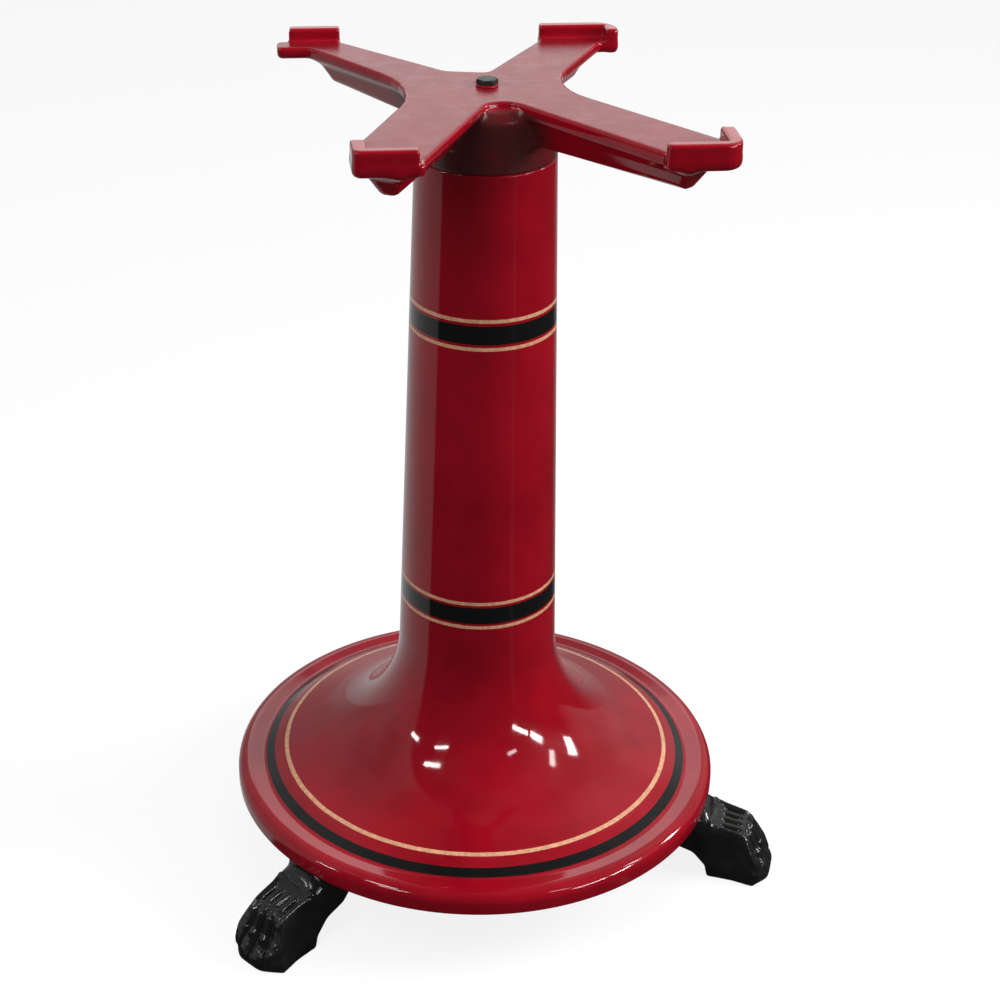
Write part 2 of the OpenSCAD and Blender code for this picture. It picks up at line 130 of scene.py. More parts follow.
def outline_distance(outline: Sequence[Point], x: np.ndarray, y: np.ndarray) -> np.ndarray:
    """Distance from points to a closed outline, negative inside it.

    Args:
        outline: The outline's points.
        x: First coordinate of the points.
        y: Second coordinate of the points.

    Returns:
        One distance for each point.
    """
    shape = np.broadcast(x, y).shape
    inside = np.zeros(shape, bool)
    nearest = np.full(shape, np.inf, np.float32)
    ax, ay = outline[-1]
    for bx, by in outline:
        ex, ey = bx - ax, by - ay
        share = np.clip(((x - ax) * ex + (y - ay) * ey) / (ex * ex + ey * ey + SPECK), 0, 1)
        nearest = np.minimum(nearest, (x - ax - share * ex) ** 2 + (y - ay - share * ey) ** 2)
        if ay != by:
            inside ^= ((ay > y) != (by > y)) & (x < ex * (y - ay) / ey + ax)
        ax, ay = bx, by
    return np.where(inside, -1, 1) * np.sqrt(nearest)


def soft_union(a: np.ndarray, b: np.ndarray, fillet: float) -> np.ndarray:
    """The field of both bodies together, with a fillet where they meet."""
    share = np.clip(0.5 + 0.5 * (b - a) / fillet, 0, 1)
    return b + (a - b) * share - fillet * share * (1 - share)


def soft_common(a: np.ndarray, b: np.ndarray, rounding: float) -> np.ndarray:
    """The field of what lies in both bodies, with rounded edges."""
    return -soft_union(-a, -b, rounding)


def slab(flat: np.ndarray, z: np.ndarray, low: float, high: float, r_low: float, r_high: float) -> np.ndarray:
    """Distance to an outline's plate with rounded edges.

    Args:
        flat: Distance to the outline in plan.
        z: Heights of the points.
        low: Height of the plate's lower face.
        high: Height of its upper face.
        r_low: Rounding of the lower edges.
        r_high: Rounding of the upper edges.

    Returns:
        The distance field.
    """
    middle = (low + high) / 2
    radius = np.where(z < middle, r_low, r_high)
    across = flat + radius
    up = np.abs(z - middle) - (high - low) / 2 + radius
    out = np.hypot(np.maximum(across, 0), np.maximum(up, 0))
    return np.minimum(np.maximum(across, up), 0) + out - radius


def tapered_rod(x: np.ndarray, y: np.ndarray, z: np.ndarray, a: Sequence[float], b: Sequence[float]) -> np.ndarray:
    """Distance to a round rod between two balls.

    Args:
        x: First coordinate of the points.
        y: Second coordinate of the points.
        z: Third coordinate of the points.
        a: Centre and radius of the first ball.
        b: Centre and radius of the second ball.

    Returns:
        The distance field.
    """
    dx, dy, dz = b[0] - a[0], b[1] - a[1], b[2] - a[2]
    share = ((x - a[0]) * dx + (y - a[1]) * dy + (z - a[2]) * dz) / (dx * dx + dy * dy + dz * dz)
    share = np.clip(share, 0, 1)
    away = (x - a[0] - share * dx) ** 2 + (y - a[1] - share * dy) ** 2 + (z - a[2] - share * dz) ** 2
    return np.sqrt(away) - (a[3] + share * (b[3] - a[3]))


def step_up(value: np.ndarray) -> np.ndarray:
    """A smooth step from 0 to 1 as the value goes from 0 to 1."""
    t = np.clip(value, 0, 1)
    return t * t * (3 - 2 * t)


def window(value: np.ndarray, start: float, end: float, rise: float, fall: float) -> np.ndarray:
    """1 between a start and an end, with a smooth rise after the one and a smooth fall before the other."""
    return step_up((value - start) / rise) * step_up((end - value) / fall)


def hump(value: np.ndarray) -> np.ndarray:
    """A smooth bump of height 1 at value 0, about 2 wide."""
    return np.exp(-value * value)


def turned_points(points: np.ndarray, turn: float) -> np.ndarray:
    """Points turned about the Z axis by an angle in degrees."""
    c, s = math.cos(math.radians(turn)), math.sin(math.radians(turn))
    return points @ np.array([[c, s, 0], [-s, c, 0], [0, 0, 1]])


@dataclass
class CastBlock:
    """A block of sample points in which a casting's surface is found.

    Attributes:
        low: Lowest corner.
        high: Highest corner.
        step: Distance between sample points.
        rounds: How often the net is smoothed and pulled back to the surface.
        pulls: Pulls in each round.
        longest_pull: Longest move of one pull, in steps.
        edge_gain: What the convexity is multiplied by, so that a sharp edge gives 1.
    """

    low: Triple
    high: Triple
    step: float
    rounds: int = 3
    pulls: int = 2
    longest_pull: float = 0.5
    edge_gain: float = 6.0

    def axes(self) -> tuple[np.ndarray, np.ndarray, np.ndarray]:
        """The three coordinates of the points, shaped to broadcast."""
        ranges = [np.arange(a, b + self.step, self.step, dtype=np.float32) for a, b in zip(self.low, self.high)]
        return ranges[0][:, None, None], ranges[1][None, :, None], ranges[2][None, None, :]

    def surface(self, body: np.ndarray) -> tuple[np.ndarray, np.ndarray, np.ndarray]:
        """The zero surface of a distance field, as quads that lie on it.

        Args:
            body: The field's values at the sample points, negative inside.

        Returns:
            The vertices, the quads, and how convex the surface is at each vertex.
        """
        verts, faces = self._net(body)
        slopes = [np.gradient(body, axis=k) for k in range(3)]
        ends = np.concatenate([faces[:, [k, (k + 1) % 4]] for k in range(4)])
        ends = np.concatenate([ends, ends[:, ::-1]])
        degree = np.bincount(ends[:, 0])

        def neighbours(values: np.ndarray) -> np.ndarray:
            """Mean of the neighbours' values at each vertex."""
            flat = values.reshape(len(values), -1)
            mean = [np.bincount(ends[:, 0], flat[ends[:, 1], k]) / degree for k in range(flat.shape[1])]
            return np.stack(mean, 1).reshape(values.shape)

        def slope_at(places: np.ndarray) -> np.ndarray:
            """The field's slope at each place."""
            return np.stack([self._sample(g, places) for g in slopes], 1)

        for _ in range(self.rounds):
            verts = 0.5 * verts + 0.5 * neighbours(verts)
            for _ in range(self.pulls):
                value, slope = self._sample(body, verts), slope_at(verts)
                move = slope * (value / (np.sum(slope * slope, 1) + TINY))[:, None]
                verts = verts - np.clip(move, -self.longest_pull, self.longest_pull)
        slope = slope_at(verts)
        normal = slope / (np.linalg.norm(slope, axis=1, keepdims=True) + TINY)
        convex = -np.sum((neighbours(verts) - verts) * normal, 1)
        for _ in range(2):
            convex = 0.5 * convex + 0.5 * neighbours(convex)
        return verts * self.step + np.array(self.low), faces, np.clip(convex * self.edge_gain, -1, 1)

    @staticmethod
    def _net(body: np.ndarray) -> tuple[np.ndarray, np.ndarray]:
        """The first, rough net of the zero surface: a vertex in each cell that it passes, counted in cells.

        Args:
            body: The field's values at the sample points.

        Returns:
            The vertices and the quads.
        """
        cells = np.array(body.shape) - 1
        owners, points, quads = [], [], []
        for axis in range(3):
            here, there = [slice(None)] * 3, [slice(None)] * 3
            here[axis], there[axis] = slice(0, -1), slice(1, None)
            first, second = body[tuple(here)], body[tuple(there)]
            crossing = (first < 0) != (second < 0)
            start = np.argwhere(crossing)
            f, s = first[crossing], second[crossing]
            point = start.astype(float)
            point[:, axis] += f / (f - s)
            u, v = (axis + 1) % 3, (axis + 2) % 3
            ring = []
            for du, dv in ((1, 1), (0, 1), (0, 0), (1, 0)):
                cell = start.copy()
                cell[:, u] -= du
                cell[:, v] -= dv
                ring.append(np.ravel_multi_index(cell.T, cells))
                owners.append(ring[-1])
                points.append(point)
            quad = np.stack(ring, 1)
            quads.append(np.where((f < 0)[:, None], quad, quad[:, ::-1]))
        names, index = np.unique(np.concatenate(owners), return_inverse=True)
        count, point = np.bincount(index), np.concatenate(points)
        verts = np.stack([np.bincount(index, point[:, k]) / count for k in range(3)], 1)
        return verts, np.searchsorted(names, np.concatenate(quads))

    @staticmethod
    def _sample(values: np.ndarray, at: np.ndarray) -> np.ndarray:
        """Values between the sample points, by the eight points round each place.

        Args:
            values: The values at the sample points.
            at: The places, counted in cells.

        Returns:
            One value for each place.
        """
        base = np.clip(np.floor(at).astype(int), 0, np.array(values.shape) - 2)
        part = at - base
        total = np.zeros(len(at))
        for k in range(8):
            bits = np.array([(k >> 2) & 1, (k >> 1) & 1, k & 1])
            weight = np.prod(np.where(bits, part, 1 - part), 1)
            i, j, m = (base + bits).T
            total += weight * values[i, j, m]
        return total


def make_piece(
    name: str, verts: np.ndarray, faces: Sequence[Sequence[int]], material: bpy.types.Material | None
) -> bpy.types.Object:
    """A smooth mesh object from points in millimetres.

    Args:
        name: The piece's name.
        verts: Points in millimetres, in the part's frame.
        faces: The faces as rows of point numbers.
        material: The material it is given, if any.

    Returns:
        The new object, linked to the scene.
    """
    mesh = bpy.data.meshes.new(name)
    rows = faces.tolist() if isinstance(faces, np.ndarray) else list(faces)
    mesh.from_pydata((np.asarray(verts) * MM).tolist(), [], rows)
    mesh.polygons.foreach_set("use_smooth", [True] * len(mesh.polygons))
    mesh.update()
    if material is not None:
        mesh.materials.append(material)
    piece = bpy.data.objects.new(name, mesh)
    bpy.context.scene.collection.objects.link(piece)
    return piece


def give_values(piece: bpy.types.Object, name: str, values: np.ndarray) -> None:
    """Writes one number for each vertex of a piece, for its material to read."""
    store = piece.data.attributes.new(name, "FLOAT", "POINT")
    store.data.foreach_set("value", np.asarray(values, np.float32))


def seat(piece: bpy.types.Object, nodes: Sequence[str]) -> None:
    """Puts a finished piece on the body, in place of its CAD nodes.

    Args:
        piece: The finished piece.
        nodes: The CAD nodes that it stands for.
    """
    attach(piece, BODY)
    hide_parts(*nodes)
    LOG.info("%s: %d faces, stands for %s", piece.name, len(piece.data.polygons), ", ".join(nodes))


# ---------------------------------------------------------------- geometry nodes


@dataclass
class Recipe:
    """A tree of geometry nodes with named inputs."""

    name: str
    tree: bpy.types.GeometryNodeTree = field(init=False)

    def __post_init__(self) -> None:
        """Starts the tree with its geometry in and out."""
        self.tree = bpy.data.node_groups.new(self.name, "GeometryNodeTree")
        self.tree.interface.new_socket("Geometry", in_out="INPUT", socket_type="NodeSocketGeometry")
        self.tree.interface.new_socket("Geometry", in_out="OUTPUT", socket_type="NodeSocketGeometry")

    def input(self, name: str, kind: str, value: float | int | None = None) -> None:
        """Adds a named input of a socket kind, with its usual value."""
        made = self.tree.interface.new_socket(name, in_out="INPUT", socket_type=kind)
        if value is not None:
            made.default_value = value

    def add(self, kind: str, **inputs: object) -> bpy.types.Node:
        """Adds a node and sets or joins its inputs by name.

        Args:
            kind: The node's type.
            **inputs: A value or an output socket for each input, with _ for a space in its name.

        Returns:
            The node.
        """
        node = self.tree.nodes.new(kind)
        for key, value in inputs.items():
            socket = node.inputs[key.replace("_", " ")]
            if isinstance(value, bpy.types.NodeSocket):
                self.tree.links.new(value, socket)
            else:
                socket.default_value = value
        return node

    def finish(self, last: bpy.types.NodeSocket, material: bpy.types.NodeSocket) -> None:
        """Ends the tree in real geometry with its material set."""
        real = self.add("GeometryNodeRealizeInstances", Geometry=last)
        dressed = self.add("GeometryNodeSetMaterial", Geometry=real.outputs[0], Material=material)
        self.add("NodeGroupOutput", Geometry=dressed.outputs[0])

    def bake(self, piece: bpy.types.Object, **values: object) -> bpy.types.Object:
        """Runs the tree on a piece and keeps the result as its plain mesh.

        Args:
            piece: The object that holds the starting points.
            **values: The tree's inputs by name, with _ for a space.

        Returns:
            The piece, without its modifier.
        """
        modifier = piece.modifiers.new(self.name, "NODES")
        modifier.node_group = self.tree
        sockets = [s for s in self.tree.interface.items_tree if s.item_type == "SOCKET" and s.in_out == "INPUT"]
        names = {s.name: s.identifier for s in sockets}
        for key, value in values.items():
            modifier[names[key.replace("_", " ")]] = value
        bpy.context.view_layer.update()
        made = bpy.data.meshes.new_from_object(piece.evaluated_get(bpy.context.evaluated_depsgraph_get()))
        piece.modifiers.remove(modifier)
        made.name = piece.name
        piece.data = made
        made.polygons.foreach_set("use_smooth", [True] * len(made.polygons))
        return piece


def turning_recipe() -> Recipe:
    """The tree that turns a closed profile about the Z axis, as a lathe or a moulder's strickle does.

    Returns:
        The tree.
    """
    recipe = Recipe("turned_profile")
    recipe.input("Segments", "NodeSocketInt", 192)
    recipe.input("Ring radius", "NodeSocketFloat", 0.001)
    recipe.input("Finish", "NodeSocketMaterial")
    given = recipe.tree.nodes.new("NodeGroupInput")
    profile = recipe.add("GeometryNodeMeshToCurve", Mesh=given.outputs["Geometry"])
    ring = recipe.add(
        "GeometryNodeCurvePrimitiveCircle",
        Resolution=given.outputs["Segments"],
        Radius=given.outputs["Ring radius"],
    )
    turned = recipe.add("GeometryNodeCurveToMesh", Curve=ring.outputs[0], Profile_Curve=profile.outputs[0])
    recipe.finish(turned.outputs[0], given.outputs["Finish"])
    return recipe


def placing_recipe() -> Recipe:
    """The tree that sets one finished fastener on every point of a pattern, turned to face outwards.

    Returns:
        The tree.
    """
    recipe = Recipe("fasteners_on_points")
    recipe.input("Fastener", "NodeSocketObject")
    recipe.input("Size", "NodeSocketFloat", 1.0)
    recipe.input("Finish", "NodeSocketMaterial")
    given = recipe.tree.nodes.new("NodeGroupInput")
    source = recipe.add("GeometryNodeObjectInfo", Object=given.outputs["Fastener"])
    turn = recipe.add("GeometryNodeInputNamedAttribute", Name="turn")
    spin = recipe.add("ShaderNodeCombineXYZ", Z=turn.outputs["Attribute"])
    points = recipe.add("GeometryNodeMeshToPoints", Mesh=given.outputs["Geometry"])
    placed = recipe.add(
        "GeometryNodeInstanceOnPoints",
        Points=points.outputs[0],
        Instance=source.outputs["Geometry"],
        Rotation=spin.outputs[0],
        Scale=given.outputs["Size"],
    )
    recipe.finish(placed.outputs[0], given.outputs["Finish"])
    return recipe


# Radius of the ring that a profile is swept along, which the profile's own radii allow for.
RING_R = 1.0


def turned_piece(
    name: str, profile: Sequence[Point], segments: int, material: bpy.types.Material, recipe: Recipe
) -> bpy.types.Object:
    """A body of revolution from a closed profile.

    Args:
        name: The piece's name.
        profile: Points as radius and height, in millimetres.
        segments: Number of steps round the axis.
        material: Its material.
        recipe: The turning tree.

    Returns:
        The piece as a plain closed mesh.
    """
    mesh = bpy.data.meshes.new(name)
    verts = [((r - RING_R) * MM, -z * MM, 0.0) for r, z in profile]
    edges = [(i, (i + 1) % len(verts)) for i in range(len(verts))]
    mesh.from_pydata(verts, edges, [])
    piece = bpy.data.objects.new(name, mesh)
    bpy.context.scene.collection.objects.link(piece)
    recipe.bake(piece, Segments=segments, Ring_radius=RING_R * MM, Finish=material)
    turn_outwards(piece.data)
    return piece


def turn_outwards(mesh: bpy.types.Mesh) -> None:
    """Turns a closed mesh's faces outwards if its signed volume says that they face in.

    Args:
        mesh: The mesh, which is changed in place.
    """
    mesh.calc_loop_triangles()
    count = len(mesh.loop_triangles)
    co = np.zeros(len(mesh.vertices) * 3)
    mesh.vertices.foreach_get("co", co)
    tri = np.zeros(count * 3, int)
    mesh.loop_triangles.foreach_get("vertices", tri)
    p = co.reshape(-1, 3)[tri.reshape(-1, 3)]
    if np.sum(np.einsum("ij,ij->i", p[:, 0], np.cross(p[:, 1], p[:, 2]))) < 0:
        mesh.flip_normals()


# ---------------------------------------------------------------- finishes


class Paint(Enum):
    """Colours of the paints, of what lies on or under them and of the painted shade under the arms, as linear red,
    green and blue.
    """

    RED = (0.330, 0.0035, 0.0135)
    RED_DEEP = (0.235, 0.0020, 0.0085)
    RED_DULL = (0.135, 0.0060, 0.0120)
    RED_WORN = (0.42, 0.02, 0.03)
    BLACK = (0.0060, 0.0065, 0.0062)
    BLACK_DEEP = (0.0075, 0.0080, 0.0078)
    BLACK_PALE = (0.0145, 0.0150, 0.0135)
    BLACK_WORN = (0.052, 0.050, 0.038)
    GOLD = (0.80, 0.42, 0.245)
    GOLD_DEEP = (0.576, 0.3024, 0.1764)
    # Painted shade under the arms, partly grime: a near-black red.
    GRIME = (0.036, 0.011, 0.010)
    DUST = (0.020, 0.018, 0.015)
    RAW_IRON = (0.021, 0.018, 0.016)
    RUST = (0.045, 0.022, 0.014)


@dataclass(frozen=True)
class Value:
    """A number that a node puts out, on which plain arithmetic makes Math nodes.

    Attributes:
        sketch: The sketch of the tree that it is in.
        socket: The node's output.
    """

    sketch: Sketch
    socket: bpy.types.NodeSocket

    def __add__(self, other: Value | float) -> Value:
        """The sum."""
        return self.sketch.math("ADD", self, other)

    def __sub__(self, other: Value | float) -> Value:
        """The difference."""
        return self.sketch.math("SUBTRACT", self, other)

    def __rsub__(self, other: float) -> Value:
        """The difference from a plain number."""
        return self.sketch.math("SUBTRACT", other, self)

    def __mul__(self, other: Value | float) -> Value:
        """The product."""
        return self.sketch.math("MULTIPLY", self, other)

    def __truediv__(self, other: Value | float) -> Value:
        """The quotient."""
        return self.sketch.math("DIVIDE", self, other)

    def __rtruediv__(self, other: float) -> Value:
        """A plain number divided by it."""
        return self.sketch.math("DIVIDE", other, self)

    def __abs__(self) -> Value:
        """The value without its sign."""
        return self.sketch.math("ABSOLUTE", self)


@dataclass(frozen=True)
class Sketch:
    """A node tree with short calls to add and join nodes."""

    tree: bpy.types.NodeTree

    def add(self, kind: str, settings: dict[str, object] | None = None, **inputs: object) -> bpy.types.Node:
        """Adds a node.

        Args:
            kind: The node's type.
            settings: Properties of the node itself.
            **inputs: A value or an output for each input, with _ for a space in its name.

        Returns:
            The node.
        """
        node = self.tree.nodes.new(kind)
        for key, value in (settings or {}).items():
            setattr(node, key, value)
        for key, value in inputs.items():
            self.set(node.inputs[key.replace("_", " ")], value)
        return node

    def set(self, socket: bpy.types.NodeSocket, value: object) -> None:
        """Joins an output to a socket, or writes a value in it.

        Args:
            socket: The node's input.
            value: An output, or a plain value.
        """
        if isinstance(value, Value):
            self.tree.links.new(value.socket, socket)
        else:
            socket.default_value = value

    def out(self, node: bpy.types.Node, name: str | int = 0) -> Value:
        """One output of a node."""
        return Value(self, node.outputs[name])

    def math(self, operation: str, *values: Value | float, clamp: bool = False) -> Value:
        """The result of a Math node.

        Args:
            operation: What the node does.
            *values: Its inputs in order.
            clamp: True if the result is kept from 0 to 1.

        Returns:
            The result.
        """
        node = self.add("ShaderNodeMath", {"operation": operation, "use_clamp": clamp})
        for socket, value in zip(node.inputs, values):
            self.set(socket, value)
        return self.out(node)

    def split(self, vector: Value) -> list[Value]:
        """The three parts of a vector."""
        return [Value(self, part) for part in self.add("ShaderNodeSeparateXYZ", Vector=vector).outputs]

    def stretched(self, vector: Value, scale: Triple) -> Value:
        """Coordinates stretched along the axes, for a pattern that runs one way."""
        return self.out(self.add("ShaderNodeMapping", Vector=vector, Scale=scale))

    def stored(self, name: str) -> Value:
        """A number stored at the mesh's vertices."""
        return self.out(self.add("ShaderNodeAttribute", {"attribute_name": name}), "Fac")

    def noise(self, vector: Value, size: Value | float, detail: float = 2.0, roughness: float = 0.5) -> Value:
        """A noise from 0 to 1 whose lumps are about one size, in metres.

        Args:
            vector: The coordinates that it follows.
            size: Size of its lumps, in metres.
            detail: How many finer noises are added.
            roughness: How strong they are.

        Returns:
            The noise.
        """
        node = self.add(
            "ShaderNodeTexNoise", {"noise_dimensions": "3D"},
            Vector=vector, Scale=1.0 / size, Detail=detail, Roughness=roughness,
        )
        return self.out(node, "Fac")

    def mix(self, share: Value, a: Value | Paint | Triple, b: Value | Paint | Triple) -> Value:
        """A colour between two others.

        Args:
            share: How much of the second colour it holds.
            a: The first colour.
            b: The second colour.

        Returns:
            The colour.
        """
        node = self.add("ShaderNodeMix", {"data_type": "RGBA"})
        self.set(node.inputs["Factor"], share)
        for socket, value in zip([s for s in node.inputs if s.type == "RGBA"], (a, b)):
            plain = value.value if isinstance(value, Paint) else value
            self.set(socket, plain if isinstance(plain, Value) else (*plain, 1.0))
        return Value(self, next(s for s in node.outputs if s.type == "RGBA"))

    def ramp(self, value: Value, low: float, high: float, to_low: float = 0.0, to_high: float = 1.0) -> Value:
        """A value's share of the way from low to high, smoothly, as a new range.

        Args:
            value: The value.
            low: Where the way starts.
            high: Where it ends.
            to_low: What it gives up to its start.
            to_high: What it gives from its end on.

        Returns:
            The new value.
        """
        node = self.add("ShaderNodeMapRange", {"interpolation_type": "SMOOTHSTEP"}, Value=value)
        for key, number in (("From Min", low), ("From Max", high), ("To Min", to_low), ("To Max", to_high)):
            self.set(node.inputs[key], number)
        return self.out(node)

    def fade(self, value: Value, low: float, high: float) -> Value:
        """1 below low, 0 above high, and smooth between."""
        return self.ramp(value, low, high, 1.0, 0.0)


def effect(
    name: str, inputs: dict[str, float | None], outputs: Sequence[str]
) -> tuple[Sketch, dict[str, Value], bpy.types.Node]:
    """Starts a shader node group.

    Args:
        name: The group's name.
        inputs: Its inputs with their usual values, where None makes a vector input.
        outputs: Names of its number outputs.

    Returns:
        The sketch of its tree, its inputs by name and its output node.
    """
    tree = bpy.data.node_groups.new(name, "ShaderNodeTree")
    for key, value in inputs.items():
        kind = "NodeSocketVector" if value is None else "NodeSocketFloat"
        made = tree.interface.new_socket(key, in_out="INPUT", socket_type=kind)
        if value is not None:
            made.default_value = value
    for key in outputs:
        tree.interface.new_socket(key, in_out="OUTPUT", socket_type="NodeSocketFloat")
    sketch, start = Sketch(tree), tree.nodes.new("NodeGroupInput")
    return sketch, {key: sketch.out(start, key) for key in inputs}, tree.nodes.new("NodeGroupOutput")


def cast_skin() -> bpy.types.NodeTree:
    """The group for a casting's skin: slow waves, a fine peel and a few pits, in metres of height.

    Returns:
        The group, which puts out Height, Tone and Gloss.
    """
    usual = {
        "Vector": None, "Wave size": 0.04, "Wave depth": 0.0002, "Peel size": 0.002, "Peel depth": 0.00001,
        "Pit size": 0.006, "Pit depth": 0.0,
    }
    s, given, out = effect("cast_skin", usual, ("Height", "Tone", "Gloss"))
    where, wave = given["Vector"], given["Wave size"]
    pits = s.ramp(s.noise(where, given["Pit size"], 0.0), 0.68, 0.80)
    height = s.noise(where, wave, 1.0) * given["Wave depth"]
    height = height + s.noise(where, given["Peel size"]) * given["Peel depth"] - pits * given["Pit depth"]
    tone_size, gloss_size = wave * 2.2, wave * 0.35
    s.set(out.inputs["Height"], height)
    s.set(out.inputs["Tone"], s.noise(where, tone_size, 3.0, 0.6))
    s.set(out.inputs["Gloss"], s.noise(where, gloss_size, 4.0, 0.62))
    return s.tree


def painted_line() -> bpy.types.NodeTree:
    """The group for a hand-drawn line where a coordinate is near its centre, kept off what lies behind a guard.

    Returns:
        The group, which puts out Mask.
    """
    usual = {
        "Vector": None, "Along": 0.0, "Centre": 0.0, "Half width": 0.002, "Edge": 0.0003, "Waver": 0.0002,
        "Guard": 1.0, "Least guard": 0.0,
    }
    s, given, out = effect("painted_line", usual, ("Mask",))
    shake = s.noise(given["Vector"], 0.03) - 0.5
    bristles = s.noise(given["Vector"], 0.0025, 1.0) - 0.5
    off = abs(given["Along"] - given["Centre"] + shake * given["Waver"]) + bristles * (given["Edge"] * 1.2)
    mask = s.math("ADD", (given["Half width"] - off) / given["Edge"], 0.5, clamp=True)
    s.set(out.inputs["Mask"], mask * s.math("GREATER_THAN", given["Guard"], given["Least guard"]))
    return s.tree


def edge_wear() -> bpy.types.NodeTree:
    """The group for where a casting's convex edges are rubbed, broken up by noise.

    Returns:
        The group, which puts out Mask.
    """
    usual = {"Vector": None, "Edge": 0.0, "Least": 0.35, "Spread": 0.4, "Break size": 0.008, "Break": 0.6}
    s, given, out = effect("edge_wear", usual, ("Mask",))
    broken = s.noise(given["Vector"], given["Break size"], 4.0, 0.65) - 0.5
    past = broken * given["Break"] + given["Edge"] - given["Least"]
    s.set(out.inputs["Mask"], s.math("DIVIDE", past, given["Spread"], clamp=True))
    return s.tree


@dataclass(frozen=True)
class Effects:
    """The effects that several finishes share, each a group built once."""

    skin: bpy.types.NodeTree = field(default_factory=cast_skin)
    line: bpy.types.NodeTree = field(default_factory=painted_line)
    wear: bpy.types.NodeTree = field(default_factory=edge_wear)


@dataclass(frozen=True)
class Skin:
    """Size and depth of a surface's unevenness, in metres.

    Attributes:
        waves: Of its slow waves.
        peel: Of its fine peel.
        pits: Of its pits.
    """

    waves: Point
    peel: Point
    pits: Point


@dataclass
class Coat:
    """What a finish feeds its shader, built up layer by layer.

    Attributes:
        colour: Its colour.
        rough: Its roughness.
        height: Its height in metres.
    """

    colour: Value
    rough: Value
    height: Value

    def lay(
        self, mask: Value, paint: Value | Paint, cover: float = 1.0, rougher: Value | float = 0.0,
        higher: Value | float = 0.0,
    ) -> None:
        """Lays something over the part of the surface that a mask shows.

        Args:
            mask: Where it lies.
            paint: Its colour.
            cover: How much of the colour below it hides.
            rougher: What it adds to the roughness.
            higher: What it adds to the height, in metres.
        """
        self.colour = mask.sketch.mix(mask * cover, self.colour, paint)
        if rougher != 0.0:
            self.rough = self.rough + mask * rougher
        if higher != 0.0:
            self.height = self.height + mask * higher


@dataclass(frozen=True)
class Finish:
    """A finish that a material is made of. Each kind has a coat of its own."""

    effects: Effects
    texture: Skin
    ior: float = 1.5
    metallic: float = 0.0

    def coat(self, s: Sketch, where: Value) -> Coat:
        """The colour, roughness and height of the finish."""
        raise NotImplementedError

    def material(self, name: str) -> bpy.types.Material:
        """The finish as a material with a name.

        Args:
            name: The material's name.

        Returns:
            The material.
        """
        material = bpy.data.materials.new(name)
        material.use_nodes = True
        s = Sketch(material.node_tree)
        coat = self.coat(s, s.out(s.add("ShaderNodeTexCoord"), "Object"))
        bump = s.add("ShaderNodeBump", Height=coat.height, Distance=1.0, Strength=1.0)
        shader = material.node_tree.nodes["Principled BSDF"]
        for key, value in (
            ("Base Color", coat.colour), ("Roughness", coat.rough), ("Normal", s.out(bump, "Normal")),
            ("IOR", self.ior), ("Metallic", self.metallic),
        ):
            s.set(shader.inputs[key], value)
        return material

    def skin(self, s: Sketch, where: Value) -> tuple[Value, Value, Value]:
        """Height, tone and gloss of the surface as cast or drawn.

        Args:
            s: The sketch of the material.
            where: Object coordinates.

        Returns:
            The three values.
        """
        (wave, wave_d), (peel, peel_d), (pit, pit_d) = self.texture.waves, self.texture.peel, self.texture.pits
        node = s.add("ShaderNodeGroup", {"node_tree": self.effects.skin}, Vector=where)
        for key, value in (
            ("Wave size", wave), ("Wave depth", wave_d), ("Peel size", peel), ("Peel depth", peel_d),
            ("Pit size", pit), ("Pit depth", pit_d),
        ):
            s.set(node.inputs[key], value)
        return s.out(node, "Height"), s.out(node, "Tone"), s.out(node, "Gloss")

    def worn(self, s: Sketch, where: Value, least: float, spread: float, patch: float, ragged: float) -> Value:
        """Where the edges are rubbed.

        Args:
            s: The sketch of the material.
            where: Object coordinates.
            least: How convex an edge is where the wear starts.
            spread: How much more convex it is where the wear is full.
            patch: Size of the patches, in metres.
            ragged: How far the patches break up the wear.

        Returns:
            The mask.
        """
        node = s.add(
            "ShaderNodeGroup", {"node_tree": self.effects.wear}, Vector=where, Edge=s.stored("edge"),
            Least=least, Spread=spread, Break_size=patch, Break=ragged,
        )
        return s.out(node, "Mask")


class LineWay(Enum):
    """What a painted line keeps to: one height, or one distance from the axis."""

    HEIGHT = "height"
    RADIUS = "radius"


@dataclass(frozen=True)
class Brush:
    """How a paint is drawn: waver and height in metres, and what it adds to the roughness."""

    waver: float
    height: float
    rough: float


# How each paint of the lines is drawn.
BRUSHES = {Paint.GOLD: Brush(0.0007, 0.00005, 0.16), Paint.BLACK: Brush(0.0004, 0.00003, 0.0)}


@dataclass(frozen=True)
class PaintedLine:
    """A line of paint round a turned casting.

    Attributes:
        way: What the line keeps to.
        centre: Its height or radius.
        width: Its width.
        paint: Its paint.
        guard: Least radius, or least height, at which the paint lies, so that it stays off the inside.
    """

    way: LineWay
    centre: float
    width: float
    paint: Paint
    guard: float


@dataclass(frozen=True)
class ShadeAndGrime:
    """Painted shade, partly grime, in the corner under the arms, darkest just under the plate.

    Attributes:
        foot: Heights between which it comes in.
        head: Heights between which it ends.
        reach: Distances from the axis between which it ends.
    """

    foot: Point = (724.0, 744.0)
    head: Point = (793.0, 795.5)
    reach: Point = (70.0, 100.0)

    def mask(self, s: Sketch, where: Value, z: Value, radius: Value) -> Value:
        """How strong the painted shade and grime are, from 0 to 1."""
        # Painted shade, partly grime: strongest just under the plate, fading down the collar and away from the axis.
        risen = s.ramp(z, *(v * MM for v in self.foot)) * s.fade(z, *(v * MM for v in self.head))
        patchy = s.ramp(s.noise(where, 0.03, 4.0, 0.6), 0.2, 0.6, 0.55, 0.85)
        return risen * s.fade(radius, *(v * MM for v in self.reach)) * patchy


